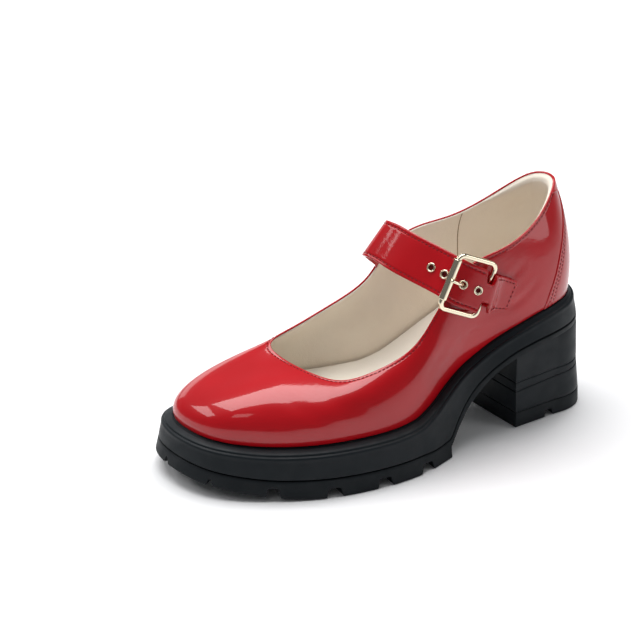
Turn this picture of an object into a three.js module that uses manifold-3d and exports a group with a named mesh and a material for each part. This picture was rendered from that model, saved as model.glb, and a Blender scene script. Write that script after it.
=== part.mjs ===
// A left mary jane shoe with a block heel, as separate solids in millimetres, +Z up.
// Design coordinates: s runs from the heel's back to the toe, w to the outer (lateral) side, z up.
import * as THREE from "three";
import { mergeVertices } from "three/addons/utils/BufferGeometryUtils.js";
import Module from "manifold-3d";

const wasm = await Module();
wasm.setup();

// ---- driving dimensions ----
const SHOE_LENGTH = 252;
const CENTRE_S = 124.65; // design s at the origin
const CENTRE_W = 0.66; // design w at the origin
const GAP = 0.3; // between pieces that meet
const UPPER_WALL = 2;
const INSOLE_THICK = 5.4;
const INSOLE_INSET = 2.9; // from the feather line to the insole's edge
const BEVEL_DROP = 3.8; // from the feather line down to the rim
const RIM_DRAFT = 3.4; // the sidewall leans out by this much from rim to ground
const FOREPART_REAR = 100; // where the forepart's tread stops before the arch
const BREAST_S = 51.5; // front of the heel at its lateral edge
const BREAST_SLANT = 0.165; // the heel's front runs forward towards the medial side
const TOP_LIFT = 9.2;
const STRAP_THICK = 2.2;
const STRAP_ROOT_REAR = 17.62; // where the strap leaves the topline, in ribs
const STRAP_ROOT_FRONT = 16.45;
const STRAP_ROOT_GAP = 0.6;
const EYELET = { outer: 2.7, inner: 1.75, high: 0.6 };
const EYELETS_AT = [6.85, 7.74, 9.12, 10.35]; // along the strap, in rows of its table
const PRONG_HOLE = 2; // which of them the prong goes through
const ROLLER_AT = 8.22; // in rows, like the eyelets
const PIVOT_AT = 11.4;
// The strap narrows over the pivot bar: by this share of its width, from so many rows before the
// bar to so many after it, over shoulders this long.
const WAIST = { depth: 0.55, before: 0.62, after: 0.26, shoulder: 0.3 };
const WIRE = 1.45; // radius of the buckle's frame
const ROLLER = { outer: 2.35, inner: 1.85, long: 24 };
const BUCKLE_ACROSS = 31.8; // between the middles of the frame's short bars
const BUCKLE_SHIFT = 0.5; // the buckle's middle lies this far in front of the strap's middle
const BUCKLE_TURN = 4.5; // degrees from square across the strap
const BUCKLE_ROUND = 3.5; // corner radius at the wire's middle
const PRONG = 0.85; // radius
const TOE_SPRING = 10;
const SPRING_START = 176;
const SPRING_POWER = 1.8;
const HEEL_HALF_WIDTH = 26.6;
const HEEL_FLARE = 3.3; // the heel widens by this much on each side towards its front
const HEEL_ROUND_S = 22; // where the heel's back curve meets its straight sides
const HEEL_SQUARENESS = 0.8;

// ---- the upper: one row per rib, round the shoe from the heel's back by the lateral side ----
// foot: the feather line. top: the topline. face: the outward direction, in degrees from the toe
// towards the lateral side. bulge, rise: the handle at the foot. reach, drop: the handle at the top.
const RIBS = [
  //  foot s, w        top s, w, z          face   bulge rise  reach drop
  { s: 5.5, w: 0, ts: 14.5, tw: 0, tz: 139.5, face: 180, bulge: 3, rise: 26, reach: 6, drop: 20 },
  { s: 14, w: 18.5, ts: 20, tw: 11, tz: 136, face: 128, bulge: 3, rise: 26, reach: 7, drop: 20 },
  { s: 36, w: 27, ts: 37, tw: 20.5, tz: 123.5, face: 95, bulge: 3, rise: 22, reach: 5, drop: 16 },
  { s: 62, w: 26.5, ts: 61, tw: 26, tz: 115.3, face: 88, bulge: 3, rise: 20, reach: 4, drop: 16 },
  { s: 86, w: 27, ts: 83, tw: 27, tz: 110, face: 82, bulge: 4, rise: 20, reach: 5, drop: 18 },
  { s: 106, w: 33, ts: 101.5, tw: 28.5, tz: 92, face: 76, bulge: 4, rise: 19, reach: 7, drop: 16 },
  { s: 126, w: 39.5, ts: 118.6, tw: 30.5, tz: 72.2, face: 82, bulge: 3, rise: 18, reach: 8, drop: 8 },
  { s: 152, w: 41, ts: 138.5, tw: 29, tz: 62.2, face: 84, bulge: 3, rise: 17, reach: 9, drop: 2 },
  { s: 184, w: 36, ts: 157.5, tw: 23.5, tz: 56.7, face: 66, bulge: 4, rise: 17, reach: 11, drop: 1 },
  { s: 212, w: 23.5, ts: 168.5, tw: 12, tz: 56.2, face: 48, bulge: 4, rise: 18, reach: 19, drop: 1 },
  { s: 232, w: 8, ts: 175, tw: -3, tz: 57, face: 32, bulge: 4, rise: 20, reach: 28, drop: 0 },
  { s: 240.5, w: -12, ts: 179, tw: -15.5, tz: 58.4, face: 8, bulge: 4, rise: 18, reach: 28, drop: 4 },
  { s: 239.5, w: -28, ts: 180, tw: -24.5, tz: 60.3, face: -22, bulge: 4, rise: 17, reach: 23, drop: 6 },
  { s: 228, w: -38, ts: 175, tw: -29, tz: 63, face: -58, bulge: 4, rise: 16, reach: 11, drop: 9 },
  { s: 203, w: -40, ts: 162, tw: -29.5, tz: 67, face: -84, bulge: 4, rise: 15, reach: 8, drop: 12 },
  { s: 172, w: -39, ts: 140, tw: -31.5, tz: 73, face: -90, bulge: 4, rise: 16, reach: 6, drop: 14 },
  { s: 140, w: -34, ts: 117, tw: -31, tz: 84, face: -98, bulge: 3, rise: 20, reach: 5, drop: 18 },
  { s: 110, w: -27, ts: 104, tw: -29.5, tz: 101, face: -98, bulge: 4, rise: 22, reach: 5, drop: 24 },
  { s: 82, w: -23.5, ts: 86, tw: -28, tz: 111.5, face: -92, bulge: 4, rise: 22, reach: 3, drop: 20 },
  { s: 54, w: -25, ts: 62, tw: -26.5, tz: 114.5, face: -90, bulge: 3, rise: 20, reach: 4, drop: 16 },
  { s: 30, w: -26, ts: 38, tw: -22, tz: 124.5, face: -96, bulge: 3, rise: 22, reach: 6, drop: 16 },
  { s: 13, w: -17.5, ts: 21, tw: -12.5, tz: 136.5, face: -130, bulge: 3, rise: 26, reach: 8, drop: 20 },
];

// ---- the strap: one row per station of its outer face, from the inner side over the instep to its
// tail, with its rear edge (s, w, z) and its front edge (fs, fw, fz) ----
const STRAP = [
  { s: 101.5, w: -27, z: 117.5, fs: 117, fw: -30, fz: 98.5 },
  { s: 107.5, w: -23, z: 122.6, fs: 121.8, fw: -25.5, fz: 103 },
  { s: 108.5, w: -18.5, z: 124.3, fs: 122.9, fw: -20, fz: 105.1 },
  { s: 106.3, w: -11, z: 124.4, fs: 120.7, fw: -12, fz: 104.9 },
  { s: 103, w: -1, z: 123, fs: 117.3, fw: -1, fz: 103 },
  { s: 99, w: 9, z: 121.4, fs: 112.3, fw: 9.5, fz: 100.7 },
  { s: 95, w: 17.5, z: 119.8, fs: 107, fw: 20, fz: 98.5 },
  { s: 91.2, w: 25.2, z: 118.1, fs: 102.2, fw: 29.6, fz: 96.2 },
  { s: 86, w: 31, z: 115, fs: 95.8, fw: 33.6, fz: 91.6 },
  { s: 80, w: 34.5, z: 111.6, fs: 88.5, fw: 36.1, fz: 88 },
  { s: 75, w: 36, z: 108.6, fs: 82.9, fw: 37.8, fz: 85.2 },
  { s: 69.5, w: 36.6, z: 104.6, fs: 76, fw: 37.6, fz: 83.4 },
  { s: 63.5, w: 32.4, z: 100.6, fs: 70, fw: 32.6, fz: 81.2 },
  { s: 57.5, w: 31.4, z: 97, fs: 64.8, fw: 31.6, fz: 79.4 },
  { s: 52.8, w: 31.2, z: 94.2, fs: 60.2, fw: 31.3, fz: 77.8 },
];
const STRAP_SEGMENTS = STRAP.length;

// ---- side profile: one row per station. feather: top of the sole. groove: joint of midsole and
// tread. under: the arch's underside. rim: how far the sole stands out past the feather line ----
const PROFILE = [
  { s: -8, feather: 72, groove: 56.8, under: 53.6, rim: 4.2 },
  { s: 20, feather: 72, groove: 56.8, under: 53.6, rim: 4.2 },
  { s: 35, feather: 70, groove: 55.8, under: 52.4, rim: 4.2 },
  { s: 50, feather: 65.5, groove: 52.4, under: 48.5, rim: 4.2 },
  { s: 64, feather: 60, groove: 46.2, under: 42.6, rim: 4.6 },
  { s: 79, feather: 52.4, groove: 36.6, under: 31.6, rim: 5.2 },
  { s: 88, feather: 47.8, groove: 28, under: 22.9, rim: 5.8 },
  { s: 94, feather: 44.3, groove: 20, under: 15, rim: 6.2 },
  { s: 101, feather: 40, groove: 10.5, under: 5.5, rim: 6.6 },
  { s: 112, feather: 33.5, groove: 9.6, under: 0, rim: 7 },
  { s: 125, feather: 29.3, groove: 10.5, under: 0, rim: 7.4 },
  { s: 145, feather: 28.2, groove: 10.5, under: 0, rim: 7.6 },
  { s: 205, feather: 28.6, groove: 11.8, under: 0, rim: 7.4 },
  { s: 235, feather: 30.8, groove: 15.2, under: 0, rim: 7 },
  { s: 256, feather: 33, groove: 19.4, under: 0, rim: 7 },
];

// ---- the tread's grooves: middle, outward direction in degrees, width at the ground, height and
// length ----
const LUG_GROOVES = [
  { s: 119.5, w: 0, face: 90, width: 9, high: 5.5, long: 140 },
  { s: 148.5, w: 0, face: 90, width: 9.5, high: 5.5, long: 140 },
  { s: 178.5, w: 0, face: 90, width: 9.5, high: 5.5, long: 140 },
  { s: 209, w: 33, face: 60, width: 8, high: 5.5, long: 24 },
  { s: 209, w: -45, face: -70, width: 8, high: 5.5, long: 24 },
  { s: 236, w: 12, face: 40, width: 4.5, high: 4.5, long: 24 },
  { s: 236, w: -42, face: -55, width: 4.5, high: 4.5, long: 24 },
  { s: 249, w: -15, face: 5, width: 4.5, high: 4.5, long: 24 },
];
const HEEL_GROOVES = [
  { s: 27.5, w: 0, face: 90, width: 6.5, high: 4.5, long: 90 },
  { s: 1, w: 18, face: 128, width: 4.5, high: 4.5, long: 20 },
  { s: 1, w: -18, face: -128, width: 4.5, high: 4.5, long: 20 },
];

// ---- numbers along tables ----
// Monotone cubic through the rows' values of one column.
function column(rows, name) {
  const x = rows.map((row) => row.s);
  const y = rows.map((row) => row[name]);
  const slope = x.slice(1).map((_, i) => (y[i + 1] - y[i]) / (x[i + 1] - x[i]));
  const tangent = x.map((_, i) => {
    if (i === 0) return slope[0];
    if (i === x.length - 1) return slope[i - 1];
    const product = slope[i - 1] * slope[i];
    return product <= 0 ? 0 : (2 * product) / (slope[i - 1] + slope[i]);
  });
  return (s) => {
    const last = x.length - 2;
    let i = 0;
    while (i < last && s > x[i + 1]) i += 1;
    const h = x[i + 1] - x[i];
    const t = THREE.MathUtils.clamp((s - x[i]) / h, 0, 1);
    const start = y[i] * (1 + 2 * t) + h * t * tangent[i];
    const end = y[i + 1] * (3 - 2 * t) - h * (1 - t) * tangent[i + 1];
    return start * (1 - t) ** 2 + end * t ** 2;
  };
}

const featherZ = column(PROFILE, "feather");
const grooveZ = column(PROFILE, "groove");
const underZ = column(PROFILE, "under");
const rimOut = column(PROFILE, "rim");

// Closed cubic spline through the points: the B-spline controls that make it pass through them.
function closedSpline(points) {
  const n = points.length;
  const controls = points.map((p) => p.clone());
  for (let sweep = 0; sweep < 40; sweep += 1) {
    for (let i = 0; i < n; i += 1) {
      const sum = controls[(i + n - 1) % n].clone().add(controls[(i + 1) % n]);
      controls[i] = points[i].clone().multiplyScalar(6).sub(sum).multiplyScalar(0.25);
    }
  }
  return (u) => {
    const i = Math.floor(u);
    const t = u - i;
    const weights = [
      (1 - t) ** 3 / 6,
      (3 * t ** 3 - 6 * t ** 2 + 4) / 6,
      (-3 * t ** 3 + 3 * t ** 2 + 3 * t + 1) / 6,
      t ** 3 / 6,
    ];
    const point = new THREE.Vector3();
    weights.forEach((weight, k) => point.addScaledVector(controls[(i + k - 1 + 2 * n) % n], weight));
    return point;
  };
}

// ---- surfaces as grids of points ----
// A design point (s, w, z) in the part's own frame.
function placed(p) {
  return new THREE.Vector3(p.y - CENTRE_W, CENTRE_S - p.x, p.z);
}

// A design direction in the part's own frame.
function direction(v) {
  return new THREE.Vector3(v.y, -v.x, v.z);
}

// One closed solid from rings of equal length, first ring capped and last ring capped.
// A ring runs from the heel's back by the lateral side, and a cap joins point i with point n - i.
function ringSolid(rings, capped) {
  const n = rings[0].length;
  const positions = [];
  rings.forEach((ring) => ring.forEach((p) => positions.push(...placed(p).toArray())));
  const index = [];
  const triangle = (a, b, c) => index.push(a, c, b);
  const quad = (a, b, c, d) => {
    triangle(a, b, c);
    triangle(a, c, d);
  };
  const bands = capped ? rings.length - 1 : rings.length;
  for (let r = 0; r < bands; r += 1) {
    const below = r * n;
    const above = ((r + 1) % rings.length) * n;
    for (let i = 0; i < n; i += 1) {
      const j = (i + 1) % n;
      quad(below + i, below + j, above + j, above + i);
    }
  }
  if (capped) {
    const top = (rings.length - 1) * n;
    for (let i = 0; i < n / 2; i += 1) {
      const pair = [i, i + 1, n - i - 1, (n - i) % n];
      if (pair[0] === pair[3]) {
        triangle(pair[0], pair[2], pair[1]);
        triangle(top + pair[0], top + pair[1], top + pair[2]);
      } else if (pair[1] === pair[2]) {
        triangle(pair[0], pair[3], pair[1]);
        triangle(top + pair[0], top + pair[1], top + pair[3]);
      } else {
        quad(pair[0], pair[3], pair[2], pair[1]);
        quad(top + pair[0], top + pair[1], top + pair[2], top + pair[3]);
      }
    }
  }
  return indexed(positions, index);
}

function indexed(positions, index) {
  const geometry = new THREE.BufferGeometry();
  geometry.setAttribute("position", new THREE.Float32BufferAttribute(positions, 3));
  geometry.setIndex(index);
  return geometry;
}

// ---- the upper's own function ----
const faceOf = (rib) => {
  const angle = THREE.MathUtils.degToRad(rib.face);
  return new THREE.Vector3(Math.cos(angle), Math.sin(angle), 0);
};
const ribFoot = (rib) => new THREE.Vector3(rib.s, rib.w, featherZ(rib.s));
const ribTop = (rib) => new THREE.Vector3(rib.ts, rib.tw, rib.tz);
const ribBulge = (rib) => {
  const out = ribFoot(rib).addScaledVector(faceOf(rib), rib.bulge);
  return out.setZ(featherZ(rib.s) + rib.rise);
};
const ribReach = (rib) => {
  const out = ribTop(rib).addScaledVector(faceOf(rib), rib.reach);
  return out.setZ(rib.tz - rib.drop);
};

const footPlan = closedSpline(RIBS.map(ribFoot));
const bulgeLine = closedSpline(RIBS.map(ribBulge));
const reachLine = closedSpline(RIBS.map(ribReach));
const topLine = closedSpline(RIBS.map(ribTop));

// The feather line: the plan's spline, at the height of the sole's top.
function footLine(u) {
  const foot = footPlan(u);
  return foot.setZ(featherZ(foot.x));
}

// A point of the upper's outer face: u counts ribs round the shoe, v goes from foot (0) to topline (1).
function upperPoint(u, v) {
  const point = new THREE.Vector3();
  point.addScaledVector(footLine(u), (1 - v) ** 3);
  point.addScaledVector(bulgeLine(u), 3 * v * (1 - v) ** 2);
  point.addScaledVector(reachLine(u), 3 * v ** 2 * (1 - v));
  point.addScaledVector(topLine(u), v ** 3);
  return point;
}

function upperNormal(u, v) {
  const step = 1e-3;
  const v0 = THREE.MathUtils.clamp(v, 0, 1 - step);
  const along = upperPoint(u + step, v0).sub(upperPoint(u - step + RIBS.length, v0));
  const up = upperPoint(u, v0 + step).sub(upperPoint(u, v0));
  return up.cross(along).normalize();
}

const around = (count) => Array.from({ length: count }, (_, i) => (i * RIBS.length) / count);

function upperGeometry(columns, rows) {
  const levels = Array.from({ length: rows + 1 }, (_, j) => j / rows);
  const outer = levels.map((v) => around(columns).map((u) => upperPoint(u, v)));
  const inner = levels.map((v) =>
    around(columns).map((u) => upperPoint(u, v).addScaledVector(upperNormal(u, v), -UPPER_WALL)),
  );
  return ringSolid([...outer, ...inner.reverse()], false);
}

// ---- the sole ----
// The feather line moved outwards by a distance that depends on s, at a height that depends on s.
function soleRing(count, outset, height) {
  return around(count).map((u) => {
    const foot = footLine(u);
    const along = footLine(u + 0.01).sub(footLine(u - 0.01 + RIBS.length)).setZ(0).normalize();
    const out = new THREE.Vector3(-along.y, along.x, 0);
    const p = foot.clone().addScaledVector(out, outset(foot.x));
    return p.setZ(height(p.x));
  });
}

function midsoleGeometry(count) {
  const rimZ = (s) => featherZ(s) - BEVEL_DROP;
  const shoulder = (s) => featherZ(s) - GAP - 0.4;
  return ringSolid(
    [
      soleRing(count, (s) => rimOut(s) + RIM_DRAFT / 2, grooveZ),
      soleRing(count, rimOut, rimZ),
      soleRing(count, () => 0.4, shoulder),
      soleRing(count, () => -UPPER_WALL, (s) => featherZ(s) - GAP),
    ],
    true,
  );
}

// The tread's lowest face: flat, then sprung up at the toe.
function ground(s) {
  const rise = Math.max(0, (s - SPRING_START) / (SHOE_LENGTH - SPRING_START));
  return TOE_SPRING * rise ** SPRING_POWER;
}

function outsoleGeometry(count) {
  const slab = ringSolid(
    [
      soleRing(count, (s) => rimOut(s) + RIM_DRAFT, ground),
      soleRing(count, (s) => rimOut(s) + RIM_DRAFT / 2, (s) => grooveZ(s) - GAP),
    ],
    true,
  );
  return cut(slab, [archTunnel(), ...LUG_GROOVES.map(grooveCutter)]);
}

// The empty space under the arch and in place of the heel, as one prism right across the shoe.
function archTunnel() {
  const shape = new THREE.Shape();
  shape.moveTo(-30, -10);
  shape.lineTo(FOREPART_REAR, -10);
  shape.lineTo(FOREPART_REAR, underZ(FOREPART_REAR));
  for (let s = FOREPART_REAR - 3; s > BREAST_S; s -= 3) shape.lineTo(s, underZ(s));
  for (let s = BREAST_S - 8; s > -30; s -= 16) shape.lineTo(s, underZ(s));
  shape.lineTo(-30, underZ(-30));
  return crosswise(shape, 160);
}

// A shape drawn in s and z, extruded across the shoe.
function crosswise(shape, width) {
  const geometry = new THREE.ExtrudeGeometry(shape, { depth: width, bevelEnabled: false });
  const across = new THREE.Matrix4().makeBasis(
    new THREE.Vector3(0, -1, 0),
    new THREE.Vector3(0, 0, 1),
    new THREE.Vector3(-1, 0, 0),
  );
  geometry.translate(0, 0, -width / 2);
  geometry.applyMatrix4(across);
  return geometry.translate(-CENTRE_W, CENTRE_S, 0);
}

// One groove of the tread: a trapezoid prism, wider at the ground.
function grooveCutter(groove) {
  const half = groove.width / 2;
  const top = half - 1.6;
  const shape = new THREE.Shape();
  shape.moveTo(-half - 1, -3);
  shape.lineTo(half + 1, -3);
  shape.lineTo(top, groove.high);
  shape.lineTo(-top, groove.high);
  shape.closePath();
  const geometry = new THREE.ExtrudeGeometry(shape, { depth: groove.long, bevelEnabled: false });
  const run = THREE.MathUtils.degToRad(groove.face);
  const outward = direction(new THREE.Vector3(Math.cos(run), Math.sin(run), 0));
  const up = new THREE.Vector3(0, 0, 1);
  const side = up.clone().cross(outward);
  geometry.translate(0, 0, -groove.long / 2);
  geometry.applyMatrix4(new THREE.Matrix4().makeBasis(side, up, outward));
  const at = placed(new THREE.Vector3(groove.s, groove.w, ground(groove.s)));
  return geometry.translate(at.x, at.y, at.z);
}

// ---- the heel ----
// Outline from the middle of the back, by the lateral side, to the breast and round again.
function heelRing(count, backS, halfWidth, height) {
  const half = count / 2;
  const corner = Math.round(half * 0.8);
  const side = (k, sign) => {
    const turn = Math.min(k / (corner * 0.6), 1) * (Math.PI / 2);
    const curved = new THREE.Vector2(
      HEEL_ROUND_S - (HEEL_ROUND_S - backS) * Math.cos(turn) ** HEEL_SQUARENESS,
      halfWidth * Math.sin(turn) ** HEEL_SQUARENESS,
    );
    const breast = breastAt(sign * (halfWidth + HEEL_FLARE));
    const straight = Math.max(0, (k - corner * 0.6) / (corner * 0.4));
    if (k <= corner) {
      curved.x += (breast - HEEL_ROUND_S) * straight;
      curved.y += HEEL_FLARE * straight;
      return new THREE.Vector3(curved.x, sign * curved.y, 0);
    }
    const w = sign * (halfWidth + HEEL_FLARE) * (1 - (k - corner) / (half - corner));
    return new THREE.Vector3(breastAt(w), w, 0);
  };
  return Array.from({ length: count }, (_, i) => {
    const point = i <= half ? side(i, 1) : side(count - i, -1);
    return point.setZ(height(point.x));
  });
}

const breastAt = (w) => BREAST_S + (HEEL_HALF_WIDTH + HEEL_FLARE - w) * BREAST_SLANT;

function heelGeometry(count) {
  return ringSolid(
    [
      heelRing(count, -1.6, HEEL_HALF_WIDTH, () => TOP_LIFT + GAP),
      heelRing(count, 0.4, HEEL_HALF_WIDTH - 0.6, () => 26),
      heelRing(count, 1.6, HEEL_HALF_WIDTH - 0.4, (s) => underZ(s) - 2 * GAP),
    ],
    true,
  );
}

function topLiftGeometry(count) {
  const slab = ringSolid(
    [
      heelRing(count, -2.2, HEEL_HALF_WIDTH, () => 0),
      heelRing(count, -1.7, HEEL_HALF_WIDTH, () => TOP_LIFT),
    ],
    true,
  );
  return cut(slab, HEEL_GROOVES.map(grooveCutter));
}

// ---- the insole, inside the upper's lower edge ----
function insoleGeometry(count) {
  const inset = () => -INSOLE_INSET;
  return ringSolid(
    [
      soleRing(count, inset, featherZ),
      soleRing(count, inset, (s) => featherZ(s) + INSOLE_THICK - 0.8),
      soleRing(count, () => -INSOLE_INSET - 0.8, (s) => featherZ(s) + INSOLE_THICK),
    ],
    true,
  );
}

// ---- the strap and its buckle ----
const mix = (a, b, q) => a.clone().lerp(b, q);
const rearEdge = (row) => new THREE.Vector3(row.s, row.w, row.z);
const frontEdge = (row) => new THREE.Vector3(row.fs, row.fw, row.fz);

// A point of the strap's outer face: t counts rows from its root, q goes from rear to front edge.
function strapPoint(t, fraction) {
  const start = PIVOT_AT - WAIST.before;
  const end = PIVOT_AT + WAIST.after;
  const into = THREE.MathUtils.smoothstep(t, start, start + WAIST.shoulder);
  const out = THREE.MathUtils.smoothstep(t, end, end + WAIST.shoulder);
  const narrow = 1 - WAIST.depth * into * (1 - out);
  const q = 0.5 + (fraction - 0.5) * narrow;
  const root = topLine(STRAP_ROOT_REAR + (STRAP_ROOT_FRONT - STRAP_ROOT_REAR) * q);
  const lifted = root.add(new THREE.Vector3(0, 0, STRAP_ROOT_GAP));
  const across = [lifted, ...STRAP.map((row) => mix(rearEdge(row), frontEdge(row), q))];
  return new THREE.CatmullRomCurve3(across).getPoint(t / STRAP_SEGMENTS);
}

function strapFrame(t, q) {
  const step = 0.01;
  const t0 = THREE.MathUtils.clamp(t, step, STRAP_SEGMENTS - step);
  const along = strapPoint(t0 + step, q).sub(strapPoint(t0 - step, q)).normalize();
  const across = strapPoint(t0, Math.min(q + step, 1)).sub(strapPoint(t0, Math.max(q - step, 0)));
  const normal = across.clone().cross(along).normalize();
  return { along, normal, across: along.clone().cross(normal), at: strapPoint(t, q) };
}

// A closed solid from an open grid of points and the same grid moved along its normals.
function sheetSolid(outer, inner) {
  const rows = outer.length;
  const columns = outer[0].length;
  const loops = outer.map((row, r) => [...row, ...inner[r].slice().reverse()]);
  const positions = loops.flat().flatMap((p) => placed(p).toArray());
  const index = [];
  const quad = (a, b, c, d) => index.push(a, c, b, a, d, c);
  const size = 2 * columns;
  for (let r = 0; r < rows - 1; r += 1) {
    for (let i = 0; i < size; i += 1) {
      const j = (i + 1) % size;
      quad(r * size + i, (r + 1) * size + i, (r + 1) * size + j, r * size + j);
    }
  }
  for (let i = 0; i < columns - 1; i += 1) {
    const end = (rows - 1) * size;
    quad(i, i + 1, size - 2 - i, size - 1 - i);
    quad(end + i, end + size - 1 - i, end + size - 2 - i, end + i + 1);
  }
  return indexed(positions, index);
}

function strapGeometry(stepsPerRow, columns) {
  const last = STRAP_SEGMENTS * stepsPerRow;
  const stations = Array.from({ length: last + 1 }, (_, i) => i / stepsPerRow);
  const qs = Array.from({ length: columns + 1 }, (_, i) => i / columns);
  const outer = stations.map((t) => qs.map((q) => strapPoint(t, q)));
  const inner = stations.map((t) =>
    qs.map((q) => strapPoint(t, q).addScaledVector(strapFrame(t, q).normal, -STRAP_THICK)),
  );
  const hole = () => new THREE.CylinderGeometry(EYELET.inner, EYELET.inner, 4 * STRAP_THICK, 12);
  return cut(sheetSolid(outer, inner), EYELETS_AT.map((t) => onStrap(t, 0, hole())));
}

// A geometry whose own Y axis is laid along the strap's normal, a given height over its outer face.
function onStrap(t, height, geometry) {
  const frame = strapFrame(t, 0.5);
  const axes = [frame.along, frame.normal, frame.across].map(direction);
  geometry.applyMatrix4(new THREE.Matrix4().makeBasis(...axes));
  const at = placed(frame.at.addScaledVector(frame.normal, height));
  return geometry.translate(at.x, at.y, at.z);
}

function eyeletGeometry(t) {
  const { outer, inner, high } = EYELET;
  const profile = [
    new THREE.Vector2(inner, 0),
    new THREE.Vector2(outer, 0),
    new THREE.Vector2(outer - 0.3, high),
    new THREE.Vector2(inner, high),
    new THREE.Vector2(inner, 0),
  ];
  return onStrap(t, GAP, new THREE.LatheGeometry(profile, 20));
}

// The buckle's own axes: along the strap, across it and outwards, between roller and pivot bar.
function buckleFrame() {
  const rollerEnd = strapFrame(ROLLER_AT, 0.5);
  const pivotEnd = strapFrame(PIVOT_AT, 0.5);
  const roller = rollerEnd.at.addScaledVector(rollerEnd.normal, ROLLER.outer + 5 * GAP);
  const pivot = pivotEnd.at.addScaledVector(pivotEnd.normal, -STRAP_THICK - GAP - WIRE);
  const along = pivot.clone().sub(roller);
  const length = along.length();
  along.normalize();
  const sideways = rollerEnd.across.clone().add(pivotEnd.across);
  const across = sideways.addScaledVector(along, -sideways.dot(along)).normalize();
  const normal = across.clone().cross(along);
  across.applyAxisAngle(normal, THREE.MathUtils.degToRad(BUCKLE_TURN));
  along.applyAxisAngle(normal, THREE.MathUtils.degToRad(BUCKLE_TURN));
  roller.addScaledVector(across, BUCKLE_SHIFT);
  pivot.addScaledVector(across, BUCKLE_SHIFT);
  return { roller, pivot, along, across, normal, length };
}

// A closed ring of wire: round sections along a rounded rectangle.
function frameGeometry(sides, cornerSteps) {
  const buckle = buckleFrame();
  const middle = mix(buckle.roller, buckle.pivot, 0.5);
  const halfAlong = buckle.length / 2 - BUCKLE_ROUND;
  const halfAcross = BUCKLE_ACROSS / 2 - BUCKLE_ROUND;
  const corners = [
    { a: halfAlong, b: halfAcross, from: 0 },
    { a: -halfAlong, b: halfAcross, from: 90 },
    { a: -halfAlong, b: -halfAcross, from: 180 },
    { a: halfAlong, b: -halfAcross, from: 270 },
  ];
  const rings = [];
  corners.forEach((corner) => {
    for (let k = 0; k <= cornerSteps; k += 1) {
      const turn = THREE.MathUtils.degToRad(corner.from + (90 * k) / cornerSteps);
      const out = buckle.along.clone().multiplyScalar(Math.cos(turn));
      out.addScaledVector(buckle.across, Math.sin(turn));
      const centre = middle.clone().addScaledVector(buckle.along, corner.a);
      centre.addScaledVector(buckle.across, corner.b).addScaledVector(out, BUCKLE_ROUND);
      rings.push(circle(centre, buckle.normal, out, WIRE, sides));
    }
  });
  return ringSolid(rings, false);
}

function circle(centre, first, second, radius, sides) {
  return Array.from({ length: sides }, (_, i) => {
    const turn = (i * 2 * Math.PI) / sides;
    const p = centre.clone().addScaledVector(first, radius * Math.cos(turn));
    return p.addScaledVector(second, radius * Math.sin(turn));
  });
}

function rollerGeometry() {
  const buckle = buckleFrame();
  const half = ROLLER.long / 2;
  const profile = [
    new THREE.Vector2(ROLLER.inner, -half),
    new THREE.Vector2(ROLLER.outer, -half),
    new THREE.Vector2(ROLLER.outer, half),
    new THREE.Vector2(ROLLER.inner, half),
    new THREE.Vector2(ROLLER.inner, -half),
  ];
  const geometry = new THREE.LatheGeometry(profile, 16);
  const axes = [buckle.normal, buckle.across, buckle.along].map(direction);
  geometry.applyMatrix4(new THREE.Matrix4().makeBasis(...axes));
  const at = placed(buckle.roller);
  return geometry.translate(at.x, at.y, at.z);
}

// The prong: from under the strap, up through its hole and on to the roller.
function prongGeometry(sides) {
  const buckle = buckleFrame();
  const hole = strapFrame(EYELETS_AT[PRONG_HOLE], 0.5);
  const tip = buckle.roller.clone().addScaledVector(buckle.normal, ROLLER.outer + GAP + PRONG);
  const stations = [
    hole.at.clone().addScaledVector(hole.normal, -STRAP_THICK - 0.4).addScaledVector(hole.along, 0.6),
    hole.at.clone().addScaledVector(hole.normal, -STRAP_THICK / 2),
    hole.at.clone().addScaledVector(hole.normal, 0.9).addScaledVector(hole.along, -0.5),
    mix(hole.at, tip, 0.5).addScaledVector(hole.normal, 1.6),
    tip.clone(),
    tip.clone().addScaledVector(buckle.along, -1.6).addScaledVector(buckle.normal, -0.3),
  ];
  const curve = new THREE.CatmullRomCurve3(stations.map(placed));
  const section = new THREE.Shape().absarc(0, 0, PRONG, 0, 2 * Math.PI);
  return new THREE.ExtrudeGeometry(section, {
    extrudePath: curve,
    steps: 20,
    curveSegments: sides,
    bevelEnabled: false,
  });
}

// ---- joins and cuts ----
function solidOf(geometry) {
  const plain = geometry.index ? geometry.toNonIndexed() : geometry.clone();
  plain.deleteAttribute("normal");
  plain.deleteAttribute("uv");
  const merged = mergeVertices(plain, 1e-4);
  const vertProperties = new Float32Array(merged.attributes.position.array);
  const triVerts = new Uint32Array(merged.index.array);
  return new wasm.Manifold(new wasm.Mesh({ numProp: 3, vertProperties, triVerts }));
}

function geometryOf(solid) {
  const mesh = solid.getMesh();
  return indexed(Array.from(mesh.vertProperties), Array.from(mesh.triVerts));
}

function cut(geometry, cutters) {
  const solid = cutters.reduce((rest, cutter) => rest.subtract(solidOf(cutter)), solidOf(geometry));
  return geometryOf(solid);
}

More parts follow.
